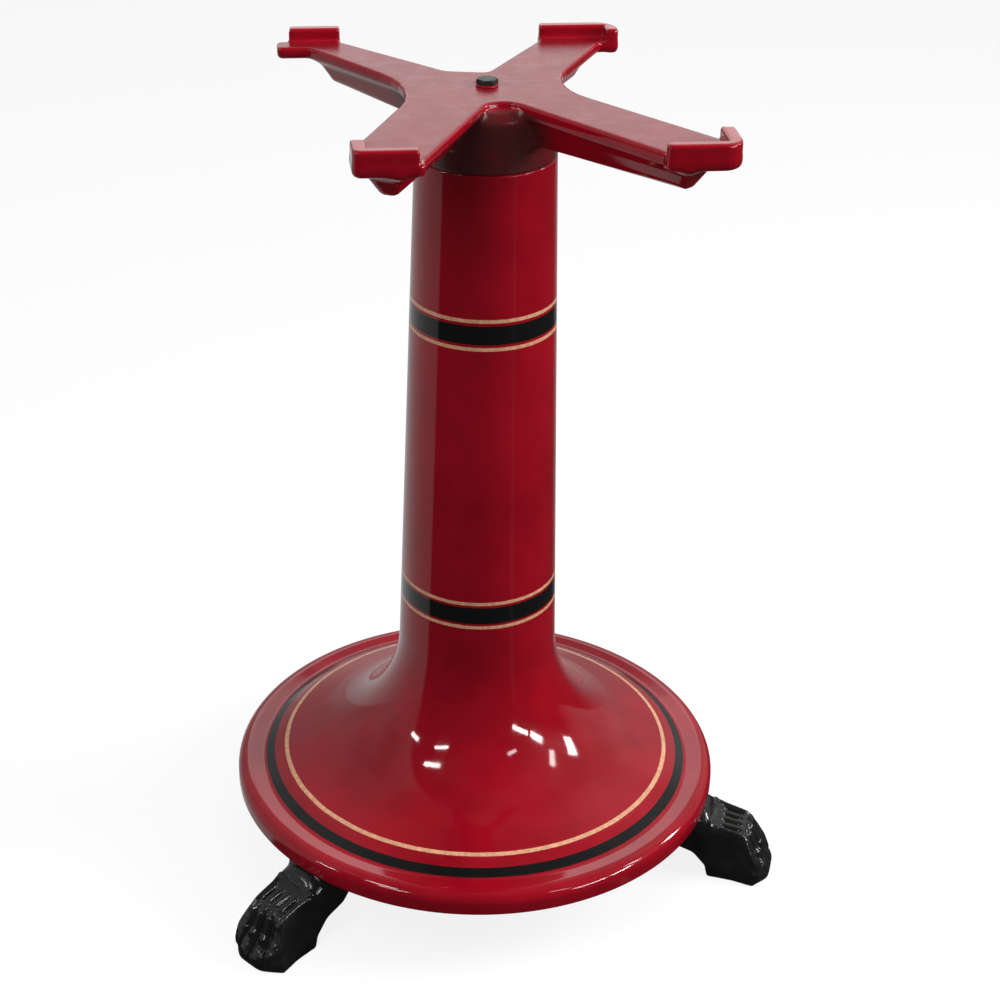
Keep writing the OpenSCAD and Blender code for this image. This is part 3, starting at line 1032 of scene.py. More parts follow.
@dataclass(frozen=True)
class RedEnamel(Finish):
    """Deep red gloss enamel on a casting, with the painted lines that it carries.

    Attributes:
        lines: The painted lines.
        has_inside: True if the piece stores where its unpainted inside is, else it stores its edges.
        rubbed_z: Height of the level faces that are rubbed dull, or 0.
        shade_and_grime: Where painted shade, partly grime, lies under the arms, if anywhere.
    """

    texture: Skin = Skin((0.045, 0.00018), (0.0021, 0.0000085), (0.0042, 0.000004))
    lines: tuple[PaintedLine, ...] = ()
    has_inside: bool = False
    rubbed_z: float = 0.0
    shade_and_grime: ShadeAndGrime | None = None

    def coat(self, s: Sketch, where: Value) -> Coat:
        """The enamel with its lines, its bare inside or worn edges, its rubbed faces, and its painted shade and
        grime under the arms.

        Args:
            s: The sketch of the material.
            where: Object coordinates.

        Returns:
            The coat.
        """
        height, tone, gloss = self.skin(s, where)
        colour = s.mix(s.ramp(tone, 0.25, 0.75), Paint.RED_DEEP, Paint.RED)
        coat = Coat(colour, s.ramp(gloss, 0.3, 0.72, 0.05, 0.095), height)
        x, y, z = s.split(where)
        radius = s.math("POWER", x * x + y * y, 0.5)
        for line in self.lines:
            self._draw(coat, line, where, z, radius)
        if self.has_inside:
            rust = s.ramp(s.noise(where, 0.03, 5.0, 0.65), 0.5, 0.8)
            sand = s.noise(where, 0.0016, 4.0, 0.7) * 0.00022
            iron = s.mix(rust, Paint.RAW_IRON, Paint.RUST)
            coat.lay(s.stored("inner"), iron, rougher=s.ramp(gloss, 0.3, 0.7, 0.42, 0.6), higher=sand)
        else:
            worn = self.worn(s, where, least=0.62, spread=0.5, patch=0.012, ragged=0.9)
            coat.lay(worn, Paint.RED_WORN, cover=0.25, rougher=0.05)
        if self.rubbed_z:
            self._rub(coat, where, z)
        # Painted shade, partly grime, on the collar and under the plate, where the arms shade it.
        if self.shade_and_grime:
            coat.lay(self.shade_and_grime.mask(s, where, z, radius), Paint.GRIME, rougher=0.25)
        return coat

    def _draw(self, coat: Coat, line: PaintedLine, where: Value, z: Value, radius: Value) -> None:
        """Draws one line of paint on the coat.

        Args:
            coat: The coat, which is changed.
            line: The line.
            where: Object coordinates.
            z: Height.
            radius: Distance from the axis.
        """
        s, brush = where.sketch, BRUSHES[line.paint]
        along, guard = (z, radius) if line.way is LineWay.HEIGHT else (radius, z)
        drawn = s.add(
            "ShaderNodeGroup", {"node_tree": self.effects.line}, Vector=where, Along=along, Guard=guard,
            Centre=line.centre * MM, Half_width=line.width / 2 * MM, Edge=0.00045, Waver=brush.waver,
            Least_guard=line.guard * MM,
        )
        paint: Value | Paint = line.paint
        if line.paint is Paint.GOLD:
            flecks = s.ramp(s.noise(where, 0.004, 3.0, 0.6), 0.35, 0.7)
            paint = s.mix(flecks, Paint.GOLD_DEEP, Paint.GOLD)
        coat.lay(s.out(drawn, "Mask"), paint, rougher=brush.rough, higher=brush.height)

    def _rub(self, coat: Coat, where: Value, z: Value) -> None:
        """Dulls the faces that lie level at the rubbed height.

        Args:
            coat: The coat, which is changed.
            where: Object coordinates.
            z: Height.
        """
        s = where.sketch
        facing_up = s.split(s.out(s.add("ShaderNodeNewGeometry"), "Normal"))[2]
        level = s.ramp(facing_up, 0.9, 0.985) * s.fade(abs(z - self.rubbed_z * MM), 0.0003, 0.0012)
        strokes = s.ramp(s.noise(s.stretched(where, (1.0, 3.0, 1.0)), 0.02, 5.0, 0.65), 0.3, 0.7, 0.20, 0.25)
        grain = s.noise(where, 0.0011, 3.0, 0.6) * 0.000012
        coat.lay(level, Paint.RED_DULL, cover=0.55, rougher=strokes, higher=grain)


@dataclass(frozen=True)
class BlackEnamel(Finish):
    """Gloss black enamel over a sand casting with sharp relief, rubbed thin on its ridges."""

    texture: Skin = Skin((0.016, 0.0006), (0.0017, 0.00006), (0.0035, 0.00012))
    ior: float = 1.52

    def coat(self, s: Sketch, where: Value) -> Coat:
        """The enamel with its worn ridges and the dust in its hollows.

        Args:
            s: The sketch of the material.
            where: Object coordinates.

        Returns:
            The coat.
        """
        height, tone, gloss = self.skin(s, where)
        colour = s.mix(s.ramp(tone, 0.3, 0.7), Paint.BLACK_DEEP, Paint.BLACK_PALE)
        coat = Coat(colour, s.ramp(gloss, 0.3, 0.7, 0.09, 0.20), height)
        worn = self.worn(s, where, least=0.4, spread=0.6, patch=0.006, ragged=0.8)
        coat.lay(worn, Paint.BLACK_WORN, cover=0.55, rougher=0.06)
        coat.lay(s.ramp(s.stored("edge"), -0.1, -0.6), Paint.DUST, cover=0.35, rougher=0.22)
        return coat


@dataclass(frozen=True)
class SteelLook:
    """Colour of a steel in its hollows and on its faces, its roughness and how metallic it is."""

    dark: Triple
    light: Triple
    rough: float
    metallic: float


class SteelKind(Enum):
    """How a steel piece is finished."""

    BLACKED = SteelLook((0.016, 0.020, 0.017), (0.040, 0.047, 0.040), 0.38, 0.35)
    MILD = SteelLook((0.16, 0.15, 0.14), (0.33, 0.32, 0.30), 0.42, 1.0)


@dataclass(frozen=True)
class Steel(Finish):
    """Bare or blacked steel with brushed patches and fine scratches."""

    texture: Skin = Skin((0.006, 0.00004), (0.0006, 0.000008), (0.002, 0.00003))
    look: SteelLook = SteelKind.MILD.value

    @classmethod
    def of(cls, effects: Effects, kind: SteelKind) -> Steel:
        """The finish of one kind of steel."""
        return cls(effects, look=kind.value, metallic=kind.value.metallic)

    def coat(self, s: Sketch, where: Value) -> Coat:
        """The steel with its scratches.

        Args:
            s: The sketch of the material.
            where: Object coordinates.

        Returns:
            The coat.
        """
        height, tone, gloss = self.skin(s, where)
        scratch = s.ramp(s.noise(s.stretched(where, (1.0, 1.0, 14.0)), 0.0035, 5.0, 0.7), 0.35, 0.7)
        colour = s.mix(s.ramp(tone, 0.25, 0.75) * scratch, self.look.dark, self.look.light)
        rough = s.ramp(gloss, 0.25, 0.75, self.look.rough - 0.08, self.look.rough + 0.14)
        return Coat(colour, rough, height + scratch * 0.000006)


# ---------------------------------------------------------------- sub-assemblies


@dataclass
class TopSpider:
    """The four-armed top: plate, lips, ribs, collar and spigot, as one casting with rounded edges.

    Attributes:
        outline: Corners of the plate in plan, as x, y and radius.
        lips: Boxes in plan within which the plate is raised, as x from and to, y from and to.
        ribs: Each rib's start on the X axis, and the x and y of its end.
        plate_edges: Rounding of the plate's lower and upper edges.
        lip_edges: Rounding of the lips' lower and upper edges.
        rib_section: Half widths of a rib at the plate, above its foot and at its foot.
    """

    seat_z: float = 800.0
    plate_t: float = 11.0
    lip_h: float = 11.5
    collar_r: float = 63.9
    collar_h: float = 50.0
    core_r: float = 38.0
    spigot_r: float = 50.0
    spigot_l: float = 38.0
    bolt_hole_r: float = 5.75
    spot_r: float = 11.5
    spot_d: float = 0.5
    rib_h: float = 31.0
    rib_end_h: float = 21.0
    rib_run_out: float = 13.0
    rib_section: Triple = (18.0, 8.5, 7.5)
    rib_edge: float = 6.0
    plate_edges: Point = (5.0, 2.4)
    lip_edges: Point = (4.6, 2.2)
    lip_fillet: float = 2.0
    under_fillet: float = 7.0
    step: float = 1.7
    outline: tuple[Corner, ...] = (
        (122, -204, 4), (185, -204, 16), (185, -157, 3), (178, -157, 2), (54, -1, 75),
        (119, 126, 4), (137, 126, 4), (137, 154, 20), (65, 154, 3), (64, 137, 2),
        (5, 39, 10), (-32, 45, 15), (-122, 141, 2), (-121, 154, 3), (-168, 154, 3),
        (-168, 143, 2), (-180, 143, 4), (-180, 121, 4), (-150, 121, 8), (-60, -6, 95),
        (-129, -168, 6), (-128, -204, 7), (-70, -204, 4), (-70, -192, 3), (3, -31, 20),
        (122, -186, 3),
    )
    lips: tuple[tuple[float, float, float, float], ...] = (
        (-133, -75, -210, -192), (-133, -116, -210, -172), (117, 190, -210, -192), (173, 190, -210, -156),
        (-169, -120, 142, 160), (63, 142, 142, 160), (125, 142, 125, 160),
    )
    ribs: tuple[Triple, ...] = ((-16, -99, -184), (2, 145.5, -182), (-28, -123.5, 124), (14, 88, 124))

    @property
    def plate_z(self) -> float:
        """Height of the plate's lower face."""
        return self.seat_z - self.plate_t

    @property
    def joint_z(self) -> float:
        """Height of the collar's lower face."""
        return self.plate_z - self.collar_h

    def _rib(self, rib: Triple, x: np.ndarray, y: np.ndarray, z: np.ndarray) -> np.ndarray:
        """Distance to the rib under one arm.

        Args:
            rib: Its start on the X axis, and the x and y of its end.
            x: Coordinates of the points along X.
            y: Coordinates along Y.
            z: Heights.

        Returns:
            The distance field.
        """
        start, dx, dy = rib[0], rib[1] - rib[0], rib[2]
        length = math.hypot(dx, dy)
        along = ((x - start) * dx + y * dy) / length
        across = ((x - start) * -dy + y * dx) / length
        inside_plate, plate = self.plate_z + 2, self.plate_z
        root, end = plate - self.rib_h, plate - self.rib_end_h
        wide, middle, narrow = self.rib_section
        half = [(wide, inside_plate), (wide, plate), (middle, end), (narrow, root)]
        section = [(-w, h) for w, h in half] + half[::-1]
        run_out = length + self.rib_run_out
        drop = [(0, inside_plate), (0, root + 1), (length, end), (run_out, plate), (run_out, inside_plate)]
        return soft_common(outline_distance(section, across, z), outline_distance(drop, along, z), self.rib_edge)

    def _plate(self, x: np.ndarray, y: np.ndarray, z: np.ndarray) -> np.ndarray:
        """Distance to the plate with its raised lips.

        Args:
            x: Coordinates of the points along X.
            y: Coordinates along Y.
            z: Heights.

        Returns:
            The distance field.
        """
        flat = outline_distance(rounded_outline(self.outline), x, y)
        boxes = [
            np.maximum(np.abs(x - (a + b) / 2) - (b - a) / 2, np.abs(y - (c + d) / 2) - (d - c) / 2)
            for a, b, c, d in self.lips
        ]
        raised = soft_common(flat, np.min(np.stack(boxes), 0), self.lip_fillet)
        plate = slab(flat, z, self.plate_z, self.seat_z, *self.plate_edges)
        lips = slab(raised, z, self.plate_z, self.seat_z + self.lip_h, *self.lip_edges)
        return soft_union(plate, lips, self.lip_fillet)

    def _collar(self, from_axis: np.ndarray, z: np.ndarray) -> np.ndarray:
        """Distance to the solid collar with its spigot.

        Args:
            from_axis: Distances of the points from the axis.
            z: Their heights.

        Returns:
            The distance field.
        """
        foot, top = self.joint_z - self.spigot_l, self.plate_z + 4
        profile = rounded_outline([
            (self.spigot_r, foot, 1.5), (self.spigot_r, self.joint_z, 0.8), (self.collar_r, self.joint_z, 1.0),
            (self.collar_r, self.plate_z - 4, 5), (self.collar_r - 6, top, 0), (-20, top, 0), (-20, foot, 0),
        ])
        return outline_distance(profile, from_axis, z)

    def _field(self, x: np.ndarray, y: np.ndarray, z: np.ndarray) -> np.ndarray:
        """Distance to the whole casting.

        Args:
            x: Coordinates of the points along X.
            y: Coordinates along Y.
            z: Heights.

        Returns:
            The distance field.
        """
        body = self._plate(x, y, z)
        low = int(np.searchsorted(z.ravel(), self.plate_z + 6))
        under, part = z[:, :, :low], body[:, :, :low]
        for rib in self.ribs:
            part = soft_union(part, self._rib(rib, x, y, under), self.under_fillet)
        from_axis = np.hypot(x, y)
        part = soft_union(part, self._collar(from_axis, under), self.under_fillet)
        below = self.joint_z - self.spigot_l - 9
        core = slab(from_axis - self.core_r, under, below, self.plate_z - 4, 0.5, 5.0)
        part = soft_common(part, -core, 1.5)
        body = np.concatenate([part, body[:, :, low:]], 2)
        body = np.maximum(body, self.bolt_hole_r - from_axis)
        spot = np.maximum(from_axis - self.spot_r, self.seat_z - self.spot_d - z)
        return np.maximum(body, -spot)

    def build(self, enamel: RedEnamel) -> bpy.types.Object:
        """Builds the casting and dresses it.

        Args:
            enamel: Its finish.

        Returns:
            The piece.
        """
        foot, top = self.joint_z - self.spigot_l, self.seat_z + self.lip_h
        block = CastBlock((-184, -208, foot - 4), (189, 158, top + 4), self.step)
        verts, faces, convex = block.surface(self._field(*block.axes()))
        piece = make_piece("spider_casting", verts, faces, enamel.material("red_enamel_top"))
        give_values(piece, "edge", convex)
        seat(piece, ["top_spider"])
        return piece


@dataclass
class ColumnAndBell:
    """The hollow column that flares into the bell-shaped base, a body of revolution, with three bosses inside.

    Attributes:
        taper: How much the column's radius grows for each millimetre down.
        slope: Slope of the bell's straight part.
        shoulder: Radius and height of the corner where the bell turns down to the valley.
        valley: Radius and height of the hollow inside the rim's bead.
        rounds: Radii of the shoulder, the valley, the bead's inner corner and the rim's foot.
        boss_box: Where the bosses start and end from the axis, and half their width.
        boss_top: Height that the bosses' block of sample points reaches, inside the bell's wall.
        paint_reach: Depth under the outer skin from which the casting is bare.
        segments: Steps round the axis.
    """

    top_r: float = 63.9
    taper: float = 0.0276
    joint_z: float = 739.0
    flare_r: float = 134.5
    flare_top: float = 262.0
    slope: float = math.radians(18)
    rim_z: float = 77.0
    rim_r: float = 243.5
    shoulder: Point = (197.0, 109.0)
    valley: Point = (217.0, 97.6)
    bead_h: float = 22.6
    rim_round: float = 11.0
    rounds: tuple[float, float, float, float] = (40.0, 9.0, 14.0, 2.5)
    wall: float = 9.0
    ring_r: float = 58.0
    ring_z: float = 200.0
    ring_t: float = 12.0
    ring_edge: float = 1.5
    socket_r: float = 50.3
    socket_z: float = 695.0
    boss_box: Triple = (174.0, 237.0, 32.0)
    boss_top: float = 136.0
    boss_step: float = 1.6
    bolt_ring: float = 198.0
    bolt_gap: float = 30.0
    tapping_r: float = 5.1
    tapping_d: float = 20.0
    paint_reach: float = 3.5
    segments: int = 224
    lines: tuple[PaintedLine, ...] = (
        PaintedLine(LineWay.HEIGHT, 591.2, 18.0, Paint.BLACK, 63.5),
        PaintedLine(LineWay.HEIGHT, 604.7, 3.4, Paint.GOLD, 63.5),
        PaintedLine(LineWay.HEIGHT, 577.8, 3.4, Paint.GOLD, 63.5),
        PaintedLine(LineWay.HEIGHT, 302.6, 17.5, Paint.BLACK, 71.5),
        PaintedLine(LineWay.HEIGHT, 315.5, 3.4, Paint.GOLD, 71.5),
        PaintedLine(LineWay.HEIGHT, 289.8, 3.4, Paint.GOLD, 71.5),
        PaintedLine(LineWay.RADIUS, 210.4, 8.6, Paint.BLACK, 95.0),
        PaintedLine(LineWay.RADIUS, 193.8, 4.0, Paint.GOLD, 104.0),
    )

    def radius(self, z: float) -> float:
        """The column's outer radius at a height."""
        return self.top_r + self.taper * (self.joint_z - z)

    @property
    def _flare_centre(self) -> Point:
        """Radius and height of the centre of the hollow curve between column and bell.

        Returns:
            The radius and the height.
        """
        rise = math.tan(self.slope)
        reach = self.radius(0) + self.flare_r * math.sqrt(1 + self.taper**2)
        z = self.shoulder[1] + rise * (self.shoulder[0] - reach) + self.flare_r / math.cos(self.slope)
        z /= 1 - rise * self.taper
        return reach - self.taper * z, z

    def _flare(self, radius: float, start: float, end: float, count: int) -> list[Point]:
        """Points of the hollow curve between column and bell."""
        x, z = self._flare_centre
        angles = [start + (end - start) * k / count for k in range(count + 1)]
        return [(x - radius * math.cos(a), z - radius * math.sin(a)) for a in angles]

    def _outer(self) -> list[Point]:
        """The outer profile, from the top of the column to the rim's lower edge.

        Returns:
            Points as radius and height.
        """
        top, rim_top = self.joint_z, self.rim_z + self.bead_h
        line = [(self.top_r - 1.0, top), (self.top_r - 0.3, top - 0.3), (self.top_r, top - 1.0)]
        line += [(self.radius(z), z) for z in np.linspace(top - 4, self.flare_top, 60)]
        line += self._flare(self.flare_r, math.atan(self.taper), math.pi / 2 - self.slope, 48)
        x, z = self._flare_centre
        end = (x - self.flare_r * math.sin(self.slope), z - self.flare_r * math.cos(self.slope))
        bead, rim = (self.rim_r - self.rim_round - 1, rim_top), (self.rim_r, rim_top - 2)
        foot = (self.rim_r, self.rim_z)
        shoulder_round, valley_round, bead_round, foot_round = self.rounds
        line += corner_arc(end, self.shoulder, self.valley, shoulder_round, 2)
        line += corner_arc(self.shoulder, self.valley, bead, valley_round, 5)
        line += corner_arc(self.valley, bead, rim, bead_round, 4)
        line += corner_arc(bead, rim, foot, self.rim_round, 6)
        line += corner_arc(rim, foot, (0, self.rim_z), foot_round, 15)
        return line

    def _inner(self) -> list[Point]:
        """The inner profile, from the rim up to the socket's mouth.

        Returns:
            Points as radius and height.
        """
        wall, ring_r, edge = self.wall, self.ring_r, self.ring_edge
        lip, roof = self.rim_r - wall, self.rim_z + self.bead_h - wall
        line = [(lip + 1, self.rim_z), (lip, self.rim_z + 1), (lip, roof - 4), (lip - 2, roof - 2)]
        line += [(self.valley[0], self.valley[1] - wall - 1), (self.shoulder[0] - 3, self.shoulder[1] - wall - 0.5)]
        inside = self.flare_r + wall
        meets_ring = math.asin((self._flare_centre[1] - self.ring_z) / inside)
        line += self._flare(inside, math.pi / 2 - self.slope, meets_ring, 40)
        low, top = self.ring_z, self.ring_z + self.ring_t
        line += [(ring_r + edge, low), (ring_r, low + edge), (ring_r, top - edge), (ring_r + edge, top)]
        line += [(self.radius(top) - wall, top)]
        line += [(self.radius(z) - wall, z) for z in np.linspace(top + 6, self.socket_z - 8, 24)]
        socket, mouth = self.socket_r, self.joint_z
        return line + [(socket, self.socket_z), (socket, mouth - 0.6), (socket + 0.6, mouth)]

    def build(self, enamel: RedEnamel, recipe: Recipe) -> list[bpy.types.Object]:
        """Builds the casting and its bosses and dresses them.

        Args:
            enamel: Its finish, which carries the painted lines.
            recipe: The turning tree.

        Returns:
            The pieces.
        """
        outer, material = np.array(self._outer()), enamel.material("red_enamel_column")
        piece = turned_piece("column_casting", self._outer() + self._inner(), self.segments, material, recipe)
        co = np.zeros(len(piece.data.vertices) * 3)
        piece.data.vertices.foreach_get("co", co)
        co = co.reshape(-1, 3) / MM
        radius = np.hypot(co[:, 0], co[:, 1])
        skin_z = np.interp(radius, outer[:, 0], outer[:, 1])
        skin_r = np.interp(co[:, 2], outer[::-1, 1], outer[::-1, 0])
        inside = (skin_r - radius > self.paint_reach) & (skin_z - co[:, 2] > self.paint_reach)
        give_values(piece, "inner", inside.astype(float))
        seat(piece, ["column_base"])
        return [piece, self._bosses(material)]

    def _bosses(self, material: bpy.types.Material) -> bpy.types.Object:
        """The three bosses under the bell that carry the feet.

        Args:
            material: Their material.

        Returns:
            The piece.
        """
        near, far, half = self.boss_box
        block = CastBlock((near - 6, -half - 6, self.rim_z - 3), (far + 7, half + 6, self.boss_top), self.boss_step)
        x, y, z = block.axes()
        outer = np.array(self._outer())
        roof = np.interp(np.hypot(x, y), outer[:, 0], outer[:, 1]) - self.wall / 2
        plan = rounded_outline([(near, -half, 5), (far, -half, 2), (far, half, 2), (near, half, 5)])
        body = np.maximum(outline_distance(plan, x, y), np.maximum(self.rim_z - z, (z - roof) * 0.95))
        for side in (-1, 1):
            away = np.hypot(x - self.bolt_ring, y - side * self.bolt_gap / 2)
            hole = np.maximum(away - self.tapping_r, z - self.rim_z - self.tapping_d)
            body = np.maximum(body, -hole)
        verts, faces, _ = block.surface(body)
        placed = [turned_points(verts, turn) for turn in FEET.values()]
        rows = [faces + len(verts) * k for k in range(len(placed))]
        piece = make_piece("column_foot_bosses", np.concatenate(placed), np.concatenate(rows), material)
        give_values(piece, "inner", np.ones(len(piece.data.vertices)))
        seat(piece, ["column_base"])
        return piece


@dataclass
class ClawFoot:
    """A cast paw: neck, fluted back with a raised border, knuckles, four toes with nails.

    Attributes:
        neck_in: Inner end of the neck under the bell.
        crown_r: Radius of the round back, seen from the toes.
        grip: Thickness of the neck that a bolt clamps.
        panel_d: Depth of the sunk panel on the back.
        flute_d: Depth of the flutes in it.
        border_h: Height of the arched border behind it.
        knob_h: Height of the knobs at the border's ends.
        side_h: Height of the borders along the panel's sides.
        groove_d: Depth of the grooves between the toes.
        bead_h: Height of the bead along the outer toes.
        flank_d: Depth of the hollows in the flanks.
    """

    rim_r: float = 243.5
    rim_z: float = 77.0
    neck_in: float = 178.0
    toe_r: float = 316.0
    crown_r: float = 37.5
    grip: float = 18.0
    bolt_r: float = 198.0
    bolt_gap: float = 30.0
    bolt_hole_r: float = 5.5
    washer_seat_r: float = 10.6
    panel_d: float = 1.5
    flute_d: float = 3.4
    flute_gap: float = 9.6
    border_h: float = 1.9
    knob_h: float = 1.8
    side_h: float = 1.8
    groove_d: float = 2.6
    bead_h: float = 1.3
    flank_d: float = 1.2
    step: float = 1.0

    def _crown(self, x: np.ndarray, y: np.ndarray, z: np.ndarray) -> np.ndarray:
        """Distance to the round-topped bar that crowns the foot's back."""
        tilt = math.atan((self.rim_z - 5 - 57) / 41.5)
        up = (x - self.rim_r) * math.sin(tilt) + (z - self.rim_z + 4) * math.cos(tilt) + self.crown_r
        return np.where(up > 0, np.hypot(y, np.maximum(up, 0)), np.abs(y)) - self.crown_r

    def _side(self) -> list[Point]:
        """The foot's outline seen from the side.

        Returns:
            Points as x and height.
        """
        rim, toe, heel, top = self.rim_r, self.toe_r, self.rim_r + 7.5, self.rim_z
        return rounded_outline([
            (self.neck_in, top, 0), (rim - 6, top, 0), (rim + 2, top - 6, 4), (rim + 8, 60.5, 5),
            (rim + 28.5, 57, 14), (rim + 39, 55.5, 8), (rim + 47, 45, 12), (rim + 55, 29, 22), (toe - 8, 17, 9),
            (toe - 2, 9, 4), (toe - 3, 0, 2), (heel, 0, 4), (heel - 3, 13, 8), (heel - 16, 27, 14),
            (heel - 38, 34, 12), (heel - 53, 50, 14), (self.neck_in, 57, 4),
        ])

    def _plan(self, neck: float, waist: float, waist_x: Point, toe: float, toe_x: float) -> list[Point]:
        """Plan outline of the foot at one height.

        Args:
            neck: Half width of the neck.
            waist: Half width of the waist.
            waist_x: Where the waist starts and ends.
            toe: Half width across the toes.
            toe_x: Where the toes are widest.

        Returns:
            The outline.
        """
        half = [
            (self.neck_in, neck, 8), (self.rim_r + 2, neck, 20), (waist_x[0], waist, 26),
            (waist_x[1], waist + 1, 20), (toe_x, toe, 3), (self.toe_r - 1.5, toe * 0.4, 30),
        ]
        return rounded_outline([(x, -y, r) for x, y, r in half] + half[::-1])

    def _field(self, x: np.ndarray, y: np.ndarray, z: np.ndarray) -> np.ndarray:
        """Distance to the foot that points along X.

        Args:
            x: Coordinates of the points along X.
            y: Coordinates along Y.
            z: Heights.

        Returns:
            The distance field.
        """
        rim, toe = self.rim_r, self.toe_r
        low = self._plan(28.5, 28.5, (rim + 14, rim + 33), 33.8, toe - 17.5)
        high = self._plan(27.5, 23.5, (rim + 20, rim + 40), 30.0, toe - 12)
        lean = step_up((z - 6) / 40)
        plan = outline_distance(low, x, y) * (1 - lean) + outline_distance(high, x, y) * lean
        body = soft_common(outline_distance(self._side(), x, z), plan, 2.6)
        body = soft_common(body, soft_union(self._crown(x, y, z), x - (rim - 7), 4.0), 5.0)
        body = soft_union(body + self._relief(x, y, z), self._toes(x, y, z), 2.4)
        for side in (-1, 1):
            away = np.hypot(x - self.bolt_r, y - side * self.bolt_gap / 2)
            body = np.maximum(body, self.bolt_hole_r - away)
            body = np.maximum(body, -np.maximum(away - self.washer_seat_r, z - (self.rim_z - self.grip)))
        return np.maximum(np.maximum(body, -z), z - self.rim_z)

    def _toes(self, x: np.ndarray, y: np.ndarray, z: np.ndarray) -> np.ndarray:
        """Distance to the four toes: knuckle, middle joint, pad and nail.

        Args:
            x: Coordinates of the points along X.
            y: Coordinates along Y.
            z: Heights.

        Returns:
            The distance field.
        """
        rim, toe = self.rim_r, self.toe_r
        toes, thin = None, 4.2
        for k in (-1.5, -0.5, 0.5, 1.5):
            drop = self.crown_r - math.sqrt(self.crown_r**2 - (11.0 * k) ** 2)
            knuckle = (rim + 44.0 - 0.6 * k * k, 12.0 * k, 44.5 - 0.9 * drop, 5.8)
            joint = (rim + 54.0 - 1.2 * k * k, 14.6 * k, 26.0 - 0.4 * drop)
            tip = (toe - 10.5 - 2.6 * k * k, 16.7 * k, 10.5, 6.4)
            upper = tapered_rod(x, y, z, knuckle, (*joint, thin))
            ball = tapered_rod(x, y, z, (*joint, 6.0), (joint[0] + 0.5, *joint[1:], 6.0))
            lower = tapered_rod(x, y, z, (*joint, thin), tip)
            root, point = (tip[0] + 1.5, tip[1], tip[2] + 5.0, 2.6), (tip[0] + 5.4, tip[1] * 1.02, tip[2] - 1.5, 1.8)
            one = soft_union(soft_union(upper, ball, 2.0), lower, 2.0)
            one = soft_union(one, tapered_rod(x, y, z, root, point), 1.2)
            toes = one if toes is None else soft_union(toes, one, 1.0)
        return toes

    def _relief(self, x: np.ndarray, y: np.ndarray, z: np.ndarray) -> np.ndarray:
        """How far the foot's skin lies below its plain form: sunk panel, flutes, borders, grooves between the toes.

        Args:
            x: Coordinates of the points along X.
            y: Coordinates along Y.
            z: Heights.

        Returns:
            The depth at each point.
        """
        along, across = x - self.rim_r, np.abs(y)
        top, past_knuckles = step_up((z - 36) / 8), step_up((along - 40) / 6)
        half = 19.5 - 0.02 * along
        panel = window(along, 13, 42, 3, 5) * step_up((half - across) / 2.0)
        flute = np.clip(np.cos(2 * math.pi * y / self.flute_gap + math.pi), 0, 1) ** 0.7
        flute = flute * window(along, 15, 39, 5, 7) * step_up((half - across) / 1.5)
        border = hump((along - 10.5 + 0.006 * y * y) / 2.4) * step_up((27 - across) / 3)
        knobs = np.exp(-(((along - 11.0) / 3.4) ** 2 + ((across - 22.5) / 3.2) ** 2))
        sides = hump((across - half - 2.4) / 1.9) * window(along, 10, 50, 5, 5)
        spread = 21.0 + 15.0 * step_up((along - 40) / 30)
        groove = sum(hump((y - spread * k) / 1.7) for k in (-0.5, 0.0, 0.5)) * past_knuckles * step_up((z - 4) / 7)
        bead = hump((z - 10 - 0.55 * (66 - along)) / 2.2) * step_up((across - 24) / 3) * past_knuckles
        flank = hump((z - 22) / 9) * step_up((across - 16) / 6) * window(along, 4, 40, 12, 12)
        back = self.panel_d * panel + self.flute_d * flute
        back = back - self.border_h * border - self.knob_h * knobs - self.side_h * sides
        return top * back + self.groove_d * groove - self.bead_h * bead + self.flank_d * flank

    def build(self, enamel: BlackEnamel) -> list[bpy.types.Object]:
        """Builds the three feet and dresses them.

        Args:
            enamel: Their finish.

        Returns:
            The three pieces.
        """
        block = CastBlock((self.neck_in - 4, -39, -3), (self.toe_r + 4, 39, self.rim_z + 3), self.step)
        verts, faces, convex = block.surface(self._field(*block.axes()))
        material = enamel.material("black_enamel_feet")
        pieces = []
        for name, turn in FEET.items():
            piece = make_piece(f"paw_{name}", turned_points(verts, turn), faces, material)
            give_values(piece, "edge", convex)
            seat(piece, [f"claw_foot_{name}"])
            pieces.append(piece)
        return pieces


